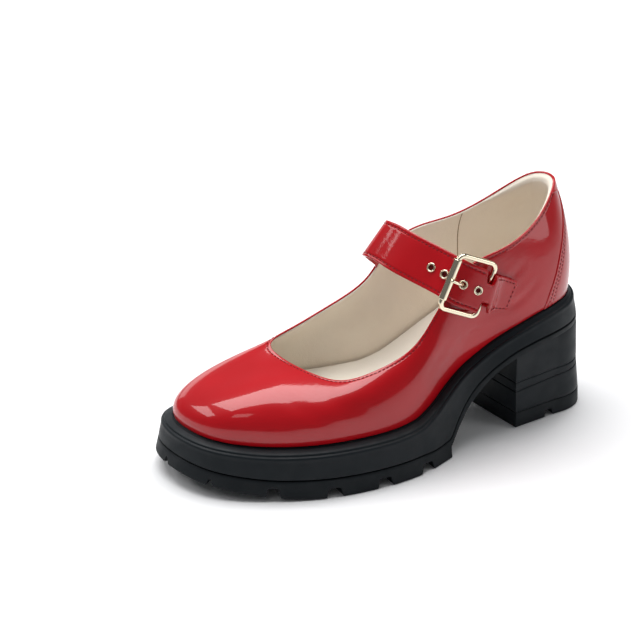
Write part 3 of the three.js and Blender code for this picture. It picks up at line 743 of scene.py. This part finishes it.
def lining_seam():
    """The seam down the lining's inner wall, as one fine raised cord of thread."""
    v = np.linspace(0.12, 0.975, 80)
    u = 19.2 - 0.45 * (1 - v)
    normals = upper_normal(np.full_like(v, 1.0) * u, v)
    path = upper_point(u, v) - normals * (UPPER_WALL + 0.02)
    turns = np.linspace(0, 2 * np.pi, 8, endpoint=False)
    across = unit(np.cross(normals, np.gradient(path, axis=0)))
    ring = np.cos(turns)[None, :, None] * across[:, None] + np.sin(turns)[None, :, None] * normals[:, None]
    build("lining_seam", *rod(path[:, None] + 0.3 * ring), SEAM, "lining_leather")


# ---- insole ----
def sole_ring(count, outset, height):
    u = around(count)
    foot = foot_line(u)
    along = foot_line(u + 0.01) - foot_line(u - 0.01)
    along[:, 2] = 0
    along = unit(along)
    out = np.stack([-along[:, 1], along[:, 0], 0 * along[:, 0]], -1)
    points = foot + out * np.broadcast_to(outset(foot[:, 0]), (count,))[:, None]
    points[:, 2] = height(points[:, 0])
    return points


def make_insole():
    """The footbed: raised towards its edges, with two shallow lines pressed along it."""
    count, across = 360, 60
    half = count // 2
    edge = sole_ring(count, lambda s: -INSOLE_INSET - 0.9, feather_z)
    left, right = edge[: half + 1], edge[[-k % count for k in range(half + 1)]]
    q = np.linspace(0, 1, across + 1)[None, :, None]
    top = left[:, None] * (1 - q) + right[:, None] * q
    width = np.linalg.norm(left - right, axis=-1)[:, None]
    from_left = q[..., 0] * width
    from_right = width - from_left
    rise = 1.3 * np.exp(-((from_left / 7) ** 2)) + 1.3 * np.exp(-((from_right / 7) ** 2))
    for share in (0.27, 0.36):
        rise = rise - 0.22 * np.exp(-(((from_left - share * width) / 0.55) ** 2))
    top[..., 2] = feather_z(top[..., 0]) + INSOLE_THICK - 0.5 + rise
    ends = np.linalg.norm(top[..., :2] - edge[0, :2], axis=-1)
    top[..., 2] += 0.8 * np.exp(-((ends / 9) ** 2))
    skirt = [
        sole_ring(count, lambda s: -INSOLE_INSET, feather_z),
        sole_ring(count, lambda s: -INSOLE_INSET, lambda s: feather_z(s) + INSOLE_THICK - 1.0),
    ]
    rings = np.stack(skirt)
    points = np.concatenate([rings.reshape(-1, 3), top.reshape(-1, 3)])
    faces = loft_faces(2, count, False) + rung_cap(0, count, True)
    base = 2 * count
    row = across + 1

    def rim(i):
        """The point of the top's border above point i of the skirt."""
        return base + i * row if i <= half else base + (count - i) * row + across

    for i in range(count):
        j = (i + 1) % count
        face = [count + i, count + j, rim(j), rim(i)]
        faces.append(list(dict.fromkeys(face)))
    for i in range(half):
        for k in range(across):
            face = [base + i * row + k, base + i * row + k + 1, base + (i + 1) * row + k + 1]
            faces.append([*face, base + (i + 1) * row + k][::-1])
    return points, faces


# ---- midsole, outsole and heel ----
SOLE_POINTS = 520


# The midsole's shoulder, groove and bevel: past the rim's overhang, and above the rim.
MIDSOLE_BEVEL = (
    (0.08, -1.3), (0.04, -0.7), (-0.15, -0.2), (-0.5, 0.2), (-0.95, 0.42), (-1.35, 0.42),
    (-1.6, 0.55), (-1.75, 0.95), (-1.95, 1.35), (-2.4, 1.65),
)


def sole_rings(*rows):
    """Rings round the sole, each from its distance past the feather line and its height."""
    return [sole_ring(SOLE_POINTS, outset, height) for outset, height in rows]


def make_midsole():
    inner, top = -MIDSOLE_BEVEL[-1][0], MIDSOLE_BEVEL[-1][1]

    def rim_z(s):
        return feather_z(s) - BEVEL_DROP

    def foot(past, above):
        return lambda s: rim_out(s) + past, lambda s: groove_z(s) + above

    def wall(share):
        return (
            lambda s: rim_out(s) + RIM_DRAFT / 2 * (1 - share),
            lambda s: groove_z(s) + (rim_z(s) - 1.9 - groove_z(s)) * share,
        )

    def shoulder(past, above):
        return lambda s: rim_out(s) + past, lambda s: rim_z(s) + above

    def slope(share):
        return (
            lambda s: (rim_out(s) - inner) * (1 - share) + 0.9 * share,
            lambda s: rim_z(s) + top + (BEVEL_DROP - top - 0.85) * share,
        )

    def lip(past, below):
        return lambda s: past, lambda s: feather_z(s) - below

    rings = sole_rings(
        foot(0.2, -0.05), foot(0.9, 0.25), foot(RIM_DRAFT / 2 - 0.15, 0.75),
        *(wall(share) for share in np.linspace(0.09, 0.97, 10)),
        *(shoulder(past, above) for past, above in MIDSOLE_BEVEL),
        *(slope(share) for share in (0.35, 0.6, 0.8, 0.93)),
        lip(0.45, 0.95), lip(0.1, 1.3), lip(-0.6, 0.6), lip(-UPPER_WALL, GAP),
    )
    build("midsole_rubber", *block(np.stack(rings)), RUBBER, "sole_rubber", ["midsole"])


def ground(s):
    rise = np.clip((s - SPRING_START) / (SHOE_LENGTH - SPRING_START), 0, None)
    return TOE_SPRING * rise**SPRING_POWER


def prism(name, outline, half_width):
    """A cutter: an outline in s and z, extruded right across the shoe."""
    outline = np.array(outline, float)
    near = np.stack([outline[:, 0], 0 * outline[:, 0] - half_width, outline[:, 1]], -1)
    far = near + np.array([0, 2 * half_width, 0])
    count = len(outline)
    faces = [list(range(count)), list(range(count, 2 * count))[::-1]]
    faces += [[i, count + i, count + (i + 1) % count, (i + 1) % count] for i in range(count)]
    return outward(raw(name, np.stack([near, far]), faces))


def outward(cutter):
    """Turns a closed cutter's faces outwards."""
    mesh = cutter.data
    mesh.calc_loop_triangles()
    total = 0.0
    for triangle in mesh.loop_triangles:
        a, b, c = (mesh.vertices[k].co for k in triangle.vertices)
        total += a.dot(b.cross(c))
    if total < 0:
        mesh.flip_normals()
    return cutter


def groove_cutter(name, row):
    s, w, face, width, high, long = row
    half = width / 2
    top = half - 1.6
    shape = np.array([(-half - 1, -3), (half + 1, -3), (top + 0.35, high - 0.5), (top - 0.35, high)])
    shape = np.concatenate([shape, [(-top + 0.35, high), (-top - 0.35, high - 0.5)]])
    run = np.array([math.cos(math.radians(face)), math.sin(math.radians(face)), 0])
    side = np.array([-run[1], run[0], 0])
    at = np.array([s, w, float(ground(s))])
    loop = at + shape[:, :1] * side + shape[:, 1:] * np.array([0, 0, 1])
    return outward(raw(name, *rod(np.stack([loop - run * long / 2, loop + run * long / 2]))))


def make_outsole():
    def wall(share):
        return (
            lambda s: rim_out(s) + RIM_DRAFT * (1 - share / 2),
            lambda s: ground(s) + (groove_z(s) - GAP - ground(s)) * share,
        )

    rings = sole_rings(
        (lambda s: rim_out(s) + RIM_DRAFT - 0.5, ground),
        (lambda s: rim_out(s) + RIM_DRAFT - 0.1, lambda s: ground(s) + 0.25),
        *(wall(share) for share in np.linspace(0.1, 0.86, 6)),
        (lambda s: rim_out(s) + RIM_DRAFT / 2, lambda s: groove_z(s) - 0.75),
        (lambda s: rim_out(s) + RIM_DRAFT / 2 - 0.5, lambda s: groove_z(s) - 0.3),
    )
    piece = build("outsole_rubber", *block(np.stack(rings)), TREAD, "sole_rubber", ["outsole"])
    tunnel = [(-30, -10), (FOREPART_REAR, -10), (FOREPART_REAR, float(under_z(FOREPART_REAR)))]
    tunnel += [(s, float(under_z(s))) for s in np.arange(FOREPART_REAR - 1, -30, -1.0)]
    cutters = [prism("arch", tunnel, 80)]
    cutters += [groove_cutter(f"groove_{i}", row) for i, row in enumerate(LUG_GROOVES)]
    carve(piece, cutters)
    soften(piece, 0.35, 50)
    settle(piece, "sole_rubber", ["outsole"], 35)


def breast_at(w):
    return BREAST_S + (HEEL_HALF_WIDTH + HEEL_FLARE - w) * BREAST_SLANT


def heel_ring(count, back_s, half_width, height, inset=0.0):
    """The heel's outline: rounded back, sides that widen to the front, and a slanted breast."""
    half = count // 2
    corner = round(half * 0.8)
    bend = corner * 0.6
    points = np.zeros((count, 3))
    for i in range(count):
        sign = 1 if i <= half else -1
        k = i if i <= half else count - i
        turn = min(k / bend, 1) * math.pi / 2
        if k <= corner:
            straight = max(0, (k - bend) / (corner - bend))
            s = HEEL_ROUND_S - (HEEL_ROUND_S - back_s) * max(math.cos(turn), 0) ** HEEL_SQUARENESS
            w = half_width * math.sin(turn) ** HEEL_SQUARENESS
            s += (breast_at(sign * (half_width + HEEL_FLARE)) - HEEL_ROUND_S) * straight
            w = sign * (w + HEEL_FLARE * straight)
        else:
            w = sign * (half_width + HEEL_FLARE) * (1 - (k - corner) / (half - corner))
            s = breast_at(w)
        points[i, :2] = s, w
    if inset:
        ahead = unit(np.roll(points, -1, 0) - np.roll(points, 1, 0))
        points[:, 0] += inset * ahead[:, 1]
        points[:, 1] -= inset * ahead[:, 0]
    points[:, 2] = height(points[:, 0])
    return points


HEEL_POINTS = 240
# The heel's moulded lines: height at the back, height at the breast, depth.
HEEL_LINES = ((26.3, 23.0, 0.5), (30.2, 28.8, 0.5))


def heel_levels():
    """Heights (back, breast) of the heel's rings, close together where a moulded line runs."""
    low, top = TOP_LIFT + GAP, under_z(0) - 2 * GAP
    levels = [(low, low, 0.4), (low + 0.4, low + 0.4, 0.0)]
    stops = [*HEEL_LINES, (top - 1.0, top - 1.0, 0)]
    for back, front, depth in stops:
        start = levels[-1]
        for share in np.linspace(0, 1, 8)[1:]:
            reach = 1.1 if depth else 0.0
            levels.append((
                start[0] + (back - reach - start[0]) * share,
                start[1] + (front - reach - start[1]) * share,
                0.0,
            ))
        if depth:
            for offset in np.linspace(-1, 1, 11)[1:]:
                levels.append((back + offset, front + offset, depth * math.exp(-((offset / 0.4) ** 2))))
    return levels


def make_heel():
    roof = under_z(0) - 2 * GAP
    rings = []
    for back, front, deep in [*heel_levels(), (roof, roof, 0.35)]:
        middle = (back + front) / 2
        lean = np.interp(middle, [TOP_LIFT, 26, roof], [-1.6, 0.4, 1.6])
        half = HEEL_HALF_WIDTH - np.interp(middle, [TOP_LIFT, 26, roof], [0, 0.6, 0.4])

        def height(s, back=back, front=front):
            level = back + (front - back) * np.clip(s / BREAST_S, 0, 1)
            share = np.clip((level - 29) / (roof - 29), 0, 1)
            return level + share * (under_z(s) - 2 * GAP - roof)

        rings.append(heel_ring(HEEL_POINTS, lean, half, height, deep))
    build("heel_block", *block(np.stack(rings)), RUBBER, "sole_rubber", ["heel"], sharp=55)


# The top lift's rings: s at the back, how far it is drawn in, and height.
LIFT_RINGS = ((-2.2, 0.5, 0), (-2.2, 0.1, 0.3), (-2.15, 0, 0.8), (-1.75, 0, 8.4), (-1.7, 0.35, TOP_LIFT))


def make_top_lift():
    rings = []
    for back, inset, z in LIFT_RINGS:
        rings.append(heel_ring(HEEL_POINTS, back, HEEL_HALF_WIDTH, lambda s, h=z: h + 0 * s, inset))
    piece = build("heel_top_lift", *block(np.stack(rings)), TREAD, "sole_rubber", ["top_lift"])
    carve(piece, [groove_cutter(f"groove_{i}", row) for i, row in enumerate(HEEL_GROOVES)])
    soften(piece, 0.35, 50)
    settle(piece, "sole_rubber", ["top_lift"], 35)


# ---- strap ----
def catmull(points, t):
    """Centripetal Catmull-Rom through points (n, ..., 3), at t counted in points."""
    n = len(points)
    i = np.clip(np.floor(t).astype(int), 0, n - 2)
    weight = (t - i)[..., None]
    ends = np.concatenate([[2 * points[0] - points[1]], points, [2 * points[-1] - points[-2]]])
    where = np.arange(points.shape[1]) if points.ndim == 3 else None

    def pick(k):
        return ends[i + k, where] if where is not None else ends[i + k]

    knots = [pick(k) for k in range(4)]
    p0, p1, p2, p3 = knots
    gaps = [np.linalg.norm(b - a, axis=-1, keepdims=True) for a, b in zip(knots, knots[1:])]
    d0, d1, d2 = (np.sqrt(gap) for gap in gaps)
    t1 = ((p1 - p0) / d0 - (p2 - p0) / (d0 + d1) + (p2 - p1) / d1) * d1
    t2 = ((p2 - p1) / d1 - (p3 - p1) / (d1 + d2) + (p3 - p2) / d2) * d1
    c2 = -3 * p1 + 3 * p2 - 2 * t1 - t2
    c3 = 2 * p1 - 2 * p2 + t1 + t2
    return p1 + t1 * weight + c2 * weight**2 + c3 * weight**3


def strap_width(t):
    """How much of its full width the strap has: it narrows where it crosses the pivot bar."""
    into = smooth((t - PIVOT_AT + WAIST_BEFORE) / WAIST_SHOULDER)
    out = smooth((t - PIVOT_AT - WAIST_AFTER) / WAIST_SHOULDER)
    return 1 - WAIST_DEPTH * into * (1 - out)


def strap_point(t, fraction):
    """Outer face of the strap: t counts rows from the root, fraction goes from rear to front edge."""
    t, fraction = np.broadcast_arrays(np.asarray(t, float), np.asarray(fraction, float))
    shape = t.shape
    t, fraction = t.ravel(), fraction.ravel()
    q = 0.5 + (fraction - 0.5) * strap_width(t)
    root = top_line(STRAP_ROOT_REAR + (STRAP_ROOT_FRONT - STRAP_ROOT_REAR) * q)
    root[:, 2] += STRAP_ROOT_GAP
    rows = STRAP[:, None, :3] * (1 - q)[None, :, None] + STRAP[:, None, 3:] * q[None, :, None]
    return catmull(np.concatenate([root[None], rows]), t).reshape(*shape, 3)


def strap_frame(t, q):
    step = 0.01
    t, q = np.broadcast_arrays(np.asarray(t, float), np.asarray(q, float))
    t0 = np.clip(t, step, STRAP_END - step)
    along = unit(strap_point(t0 + step, q) - strap_point(t0 - step, q))
    across = strap_point(t0, np.minimum(q + step, 1)) - strap_point(t0, np.maximum(q - step, 0))
    normal = unit(np.cross(across, along))
    return along, normal, np.cross(along, normal)


def strap_spot(t):
    """The strap's outer point at its middle, and its directions along, outwards and across."""
    at = strap_point(np.array([t]), 0.5)[0]
    return at, *(axis[0] for axis in strap_frame(np.array([t]), 0.5))


def circle(centre, first, second, radius):
    turns = np.linspace(0, 2 * np.pi, 32, endpoint=False)[:, None]
    return centre + radius * (np.cos(turns) * first + np.sin(turns) * second)


STRAP_EDGE = 0.55  # radius of the strap's rounded edges
STRAP_WIDE = 24.5


def strap_section():
    """One loop round the strap: share across, and depth below the outer face."""
    outer = np.concatenate([
        np.linspace(STRAP_EDGE, 4, 13)[:-1],
        np.linspace(4, STRAP_WIDE - 4, 18),
        np.linspace(STRAP_WIDE - 4, STRAP_WIDE - STRAP_EDGE, 13)[1:],
    ])
    trough = 0.2 * np.exp(-(((np.minimum(outer, STRAP_WIDE - outer) - STITCH_INSET) / 0.5) ** 2))
    inner = np.linspace(STRAP_WIDE - 2, 2, 14)
    turns = np.radians(np.linspace(0, 90, 6))
    inset = STRAP_EDGE * (1 - np.sin(turns))
    drop = STRAP_EDGE * (1 - np.cos(turns))
    across = [outer, STRAP_WIDE - inset[1:], STRAP_WIDE - inset[::-1], inner, inset, inset[:0:-1]]
    depth = [trough, drop[1:], STRAP_THICK - drop[::-1], np.full(len(inner), STRAP_THICK)]
    depth += [STRAP_THICK - drop, drop[:0:-1]]
    return np.concatenate(across) / STRAP_WIDE, np.concatenate(depth)


TAIL_ROUND = 3.0  # corner radius of the tail


def make_strap():
    q, depth = strap_section()
    stations = np.concatenate([np.linspace(0.02, 14.4, 270), np.linspace(14.4, STRAP_END, 26)[1:]])
    row_long = np.linalg.norm(strap_point(STRAP_END, 0.5) - strap_point(STRAP_END - 1, 0.5))
    rings = []
    up = unit(top_line(np.array([17.0])) - upper_point(np.array([17.0]), np.array([0.95])))[0]
    for drop in (1.6, 0.8):
        start = strap_point(0.02, q) - strap_frame(0.02, q)[1] * (depth - 0.02)[:, None]
        rings.append(start - up * drop)
    for t in stations:
        left = max(0.0, (STRAP_END - t) * row_long)
        pulled = max(0.0, TAIL_ROUND - left)
        inset = (TAIL_ROUND - math.sqrt(max(TAIL_ROUND**2 - pulled**2, 0))) / 20
        share = inset + q * (1 - 2 * inset)
        centre = STRAP_THICK / 2
        thin = math.sqrt(max(1 - (max(0.0, STRAP_EDGE - left) / STRAP_EDGE) ** 2, 0.25))
        level = centre + (depth - centre) * thin
        rings.append(strap_point(t, share) - strap_frame(t, share)[1] * level[:, None])
    piece = build("strap_patent", *rod(np.stack(rings)), RED, "red_patent", ["strap"])
    carve(piece, [hole_cutter(t) for t in EYELETS_AT])
    settle(piece, "red_patent", ["strap"], 40)


def hole_cutter(t):
    at, along, normal, across = strap_spot(t)
    ends = [circle(at + height * normal, along, across, EYELET_INNER) for height in (-5, 4)]
    return outward(raw("hole", *rod(np.stack(ends))))


def strap_stitches():
    """Threads along both edges, up to the neck over the pivot bar, then round the tail."""
    share = STITCH_INSET / STRAP_WIDE
    tail = STRAP_END - 0.36
    neck = PIVOT_AT - WAIST_BEFORE - 0.12
    after = PIVOT_AT + WAIST_AFTER + WAIST_SHOULDER + 0.12
    runs = (("rear", share, 0.15, neck), ("front", 1 - share, 0.15, neck))
    runs += (("tail_rear", share, after, tail), ("tail_front", 1 - share, after, tail))
    for name, place, start, end in runs:
        t = np.linspace(start, end, 600)
        q = np.full_like(t, place)
        normals = strap_frame(t, q)[1]
        stitch_row(f"stitches_strap_{name}", strap_point(t, q) - normals * 0.13, normals)
    q = np.linspace(0.12, 0.88, 80)
    t = np.full_like(q, tail)
    normals = strap_frame(t, q)[1]
    stitch_row("stitches_strap_tail_end", strap_point(t, q) + normals * 0.02, normals)


# ---- buckle and eyelets ----
def buckle_frame():
    """The buckle's own axes, from the strap's frames at the roller and at the pivot bar."""
    over_roller, _, roller_normal, roller_across = strap_spot(ROLLER_AT)
    over_pivot, _, pivot_normal, pivot_across = strap_spot(PIVOT_AT)
    roller = over_roller + roller_normal * (ROLLER_OUTER + 5 * GAP)
    pivot = over_pivot - pivot_normal * (STRAP_THICK + GAP + WIRE)
    along = unit(pivot - roller)
    length = np.linalg.norm(pivot - roller)
    sideways = roller_across + pivot_across
    across = unit(sideways - along * (sideways @ along))
    normal = np.cross(across, along)
    turn = math.radians(BUCKLE_TURN)
    along, across = (
        math.cos(turn) * along - math.sin(turn) * across,
        math.cos(turn) * across + math.sin(turn) * along,
    )
    shift = across * BUCKLE_SHIFT
    return roller + shift, pivot + shift, along, across, normal, length


def make_buckle_frame():
    """A closed wire frame, flattened on its faces, whose pivot bar tapers from both of its ends."""
    roller, pivot, along, across, normal, length = buckle_frame()
    middle = (roller + pivot) / 2
    half_along, half_across = length / 2 - BUCKLE_ROUND, BUCKLE_ACROSS / 2 - BUCKLE_ROUND
    path, outs = [], []
    corners = ((half_along, half_across, 0), (-half_along, half_across, 90))
    corners += ((-half_along, -half_across, 180), (half_along, -half_across, 270))
    for index, (a, b, start) in enumerate(corners):
        for turn in np.radians(start + np.linspace(0, 90, 13)):
            out = math.cos(turn) * along + math.sin(turn) * across
            path.append(middle + a * along + b * across + BUCKLE_ROUND * out)
            outs.append(out)
        a2, b2, _ = corners[(index + 1) % 4]
        end = np.radians(start + 90)
        out = math.cos(end) * along + math.sin(end) * across
        first = middle + a * along + b * across + BUCKLE_ROUND * out
        last = middle + a2 * along + b2 * across + BUCKLE_ROUND * out
        for share in np.linspace(0, 1, 22)[1:-1]:
            path.append(first + (last - first) * share)
            outs.append(out)
    path, outs = np.array(path), np.array(outs)
    turns = np.linspace(0, 2 * np.pi, 28, endpoint=False)
    power = 0.72
    flat = np.sign(np.cos(turns)) * np.abs(np.cos(turns)) ** power
    side = np.sign(np.sin(turns)) * np.abs(np.sin(turns)) ** power
    beyond = (path - pivot) @ along
    sideways = np.abs((path - pivot) @ across)
    on_pivot = smooth((beyond + 1.2) / 1.0)
    taper = 1 - on_pivot * np.clip((8.9 - sideways) / 3.2, 0, 1) * 0.62
    round_bar = on_pivot * smooth((half_across + 1 - sideways) / 3)
    a = np.cos(turns)[None, :] * round_bar[:, None] + flat[None, :] * (1 - round_bar[:, None])
    b = np.sin(turns)[None, :] * round_bar[:, None] + side[None, :] * (1 - round_bar[:, None])
    radius = WIRE * taper[:, None]
    rings = path[:, None] + (radius * a)[..., None] * normal + (radius * 0.96 * b)[..., None] * outs[:, None]
    faces = loft_faces(len(rings), len(turns), True)
    build("buckle_frame_gold", rings, faces, GOLD, "gold_metal", ["buckle_frame"], sharp=60)


def turned(name, profile, axis_at, axes, sides, nodes, finish):
    """A lathe shape: profile rows of radius and place along the axis, closed into a ring."""
    first, axis, second = axes
    turns = np.linspace(0, 2 * np.pi, sides, endpoint=False)
    spoke = np.cos(turns)[:, None] * first + np.sin(turns)[:, None] * second
    rings = np.stack([axis_at + radius * spoke + place * axis for radius, place in profile])
    return build(name, rings, loft_faces(len(rings), sides, True), finish, "gold_metal", nodes, sharp=50)


def make_roller():
    roller, _, along, across, normal, _ = buckle_frame()
    half = ROLLER_LONG / 2
    profile = [(ROLLER_INNER, -half), (ROLLER_OUTER - 0.2, -half), (ROLLER_OUTER, -half + 0.2)]
    profile += [(ROLLER_OUTER, place) for place in np.linspace(-half + 0.6, half - 0.6, 8)]
    profile += [(ROLLER_OUTER, half - 0.2), (ROLLER_OUTER - 0.2, half), (ROLLER_INNER, half)]
    turned("buckle_roller_gold", profile, roller, (normal, across, along), 48, ["buckle_roller"], GOLD)


def make_prong():
    roller, _, along, across, normal, _ = buckle_frame()
    hole, hole_along, hole_normal, _ = strap_spot(EYELETS_AT[PRONG_EYELET - 1])
    tip = roller + normal * (ROLLER_OUTER + GAP + PRONG)
    stations = np.array([
        hole + hole_normal * (-STRAP_THICK - 0.4) + hole_along * 0.6,
        hole - hole_normal * STRAP_THICK / 2,
        hole + hole_normal * 0.9 - hole_along * 0.5,
        (hole + tip) / 2 + hole_normal * 1.6,
        tip,
        tip - along * 1.6 - normal * 0.3,
    ])
    t = np.linspace(0, 5, 61)
    path = catmull(stations, t)
    tangent = unit(np.gradient(path, axis=0))
    up = unit(np.cross(np.broadcast_to(across, path.shape), tangent))
    turns = np.linspace(0, 2 * np.pi, 20, endpoint=False)
    radius = PRONG * np.sqrt(np.clip(1 - ((t - 4.45) / 0.56).clip(0, 1) ** 2, 0.03, 1))
    ring = np.cos(turns)[None, :, None] * up[:, None] + 1.12 * np.sin(turns)[None, :, None] * across
    rings = path[:, None] + radius[:, None, None] * ring
    build("buckle_prong_gold", *rod(rings), GOLD, "gold_metal", ["buckle_prong"])


def make_eyelets():
    middle, half = (EYELET_OUTER + EYELET_INNER) / 2, (EYELET_OUTER - EYELET_INNER) / 2
    turns = np.linspace(0, np.pi, 13)
    profile = [(middle + half * math.cos(turn), 0.05 + 0.68 * max(math.sin(turn), 0)) for turn in turns]
    profile += [(EYELET_INNER - 0.02, -1.6), (EYELET_INNER - 0.22, -1.6), (EYELET_INNER - 0.22, 0.1)]
    for number, t in enumerate(EYELETS_AT, 1):
        at, along, normal, across = strap_spot(t)
        axes = (along, normal, across)
        turned(f"eyelet_{number}_gold", profile, at + normal * 0.05, axes, 40, [f"eyelet_{number}"], GOLD)


def make_eyelet_backs():
    """Thin discs that close the eyelets from behind, all but the one that the prong goes through."""
    for number, t in enumerate(EYELETS_AT, 1):
        if number == PRONG_EYELET:
            continue
        at, along, normal, across = strap_spot(t)
        ends = [circle(at - depth * normal, along, across, 1.9) for depth in (1.9, 1.65)]
        build(f"strap_backing_{number}", *rod(np.stack(ends)), THREAD, "red_patent")


def seam_finish():
    finish = Finish("lining_seam_thread", (0.34, 0.25, 0.16), 0.7)
    finish.tint(finish.noise(1.0, 2), [(0.28, 0.2, 0.13), (0.42, 0.32, 0.21)])
    finish.bump(finish.noise(0.5, 2), 0.05)
    return finish.material


SEAM = seam_finish()

make_upper()
make_lining()
make_collar()
make_backstay()
topline_stitches()
backstay_stitches()
lining_seam()
build("footbed", *make_insole(), FOOTBED, "lining_leather", ["insole"], sharp=50)
make_midsole()
make_outsole()
make_heel()
make_top_lift()
make_strap()
strap_stitches()
make_buckle_frame()
make_roller()
make_prong()
make_eyelets()
make_eyelet_backs()


# ---- floor, light and camera ----
def make_floor():
    mesh = bpy.data.meshes.new("floor")
    size = 6.0
    corners = [(-size, -size, 0), (size, -size, 0), (size, size, 0), (-size, size, 0)]
    mesh.from_pydata(corners, [], [(0, 1, 2, 3)])
    mesh.materials.append(floor_finish())
    floor = bpy.data.objects.new("floor", mesh)
    floor.location.z = -0.0002
    bpy.context.scene.collection.objects.link(floor)


def aim(thing, target):
    thing.rotation_euler = (Vector(target) - thing.location).to_track_quat("-Z", "Y").to_euler()


def softbox(name, place, target, size, radiance):
    """A rectangular area light whose brightness is given as radiance."""
    light = bpy.data.lights.new(name, "AREA")
    light.shape = "RECTANGLE"
    light.size, light.size_y = size
    light.energy = radiance * math.pi * size[0] * size[1]
    lamp = bpy.data.objects.new(name, light)
    lamp.location = place
    bpy.context.scene.collection.objects.link(lamp)
    aim(lamp, target)


def make_world():
    world = bpy.data.worlds.new("studio")
    world.use_nodes = True
    world.node_tree.nodes["Background"].inputs["Color"].default_value = (0.96, 0.98, 1.0, 1)
    world.node_tree.nodes["Background"].inputs["Strength"].default_value = 0.16
    bpy.context.scene.world = world


def make_camera():
    target = Vector((-0.03997, -0.01609, 0.060))
    azimuth, elevation, distance = math.radians(61.5), math.radians(28), 1.9
    back = Vector((
        math.sin(azimuth) * math.cos(elevation),
        -math.cos(azimuth) * math.cos(elevation),
        math.sin(elevation),
    ))
    lens = bpy.data.cameras.new("camera")
    lens.sensor_width = 36
    lens.lens = 188.6
    lens.clip_start, lens.clip_end = 0.05, 30
    camera = bpy.data.objects.new("camera", lens)
    camera.location = target + back * distance
    bpy.context.scene.collection.objects.link(camera)
    aim(camera, target)
    bpy.context.scene.camera = camera


make_floor()
make_world()
softbox("overhead", (-0.30, 0.06, 1.15), (-0.02, -0.02, 0.05), (1.35, 0.85), 5.6)
softbox("front_inner", (-0.62, -0.92, 0.92), (0.0, -0.08, 0.05), (0.8, 0.3), 4.6)
softbox("inner_wall", (-1.5, 0.1, 0.45), (0.0, 0.0, 0.08), (1.2, 0.5), 1.6)
softbox("lateral_rear", (0.46, 0.52, 0.26), (0.0, 0.06, 0.10), (0.24, 0.36), 2.2)
softbox("front_fill", (0.9, -1.3, 2.0), (0.0, 0.0, 0.05), (0.7, 0.5), 2.0)
make_camera()
bpy.context.scene.view_settings.view_transform = "Standard"
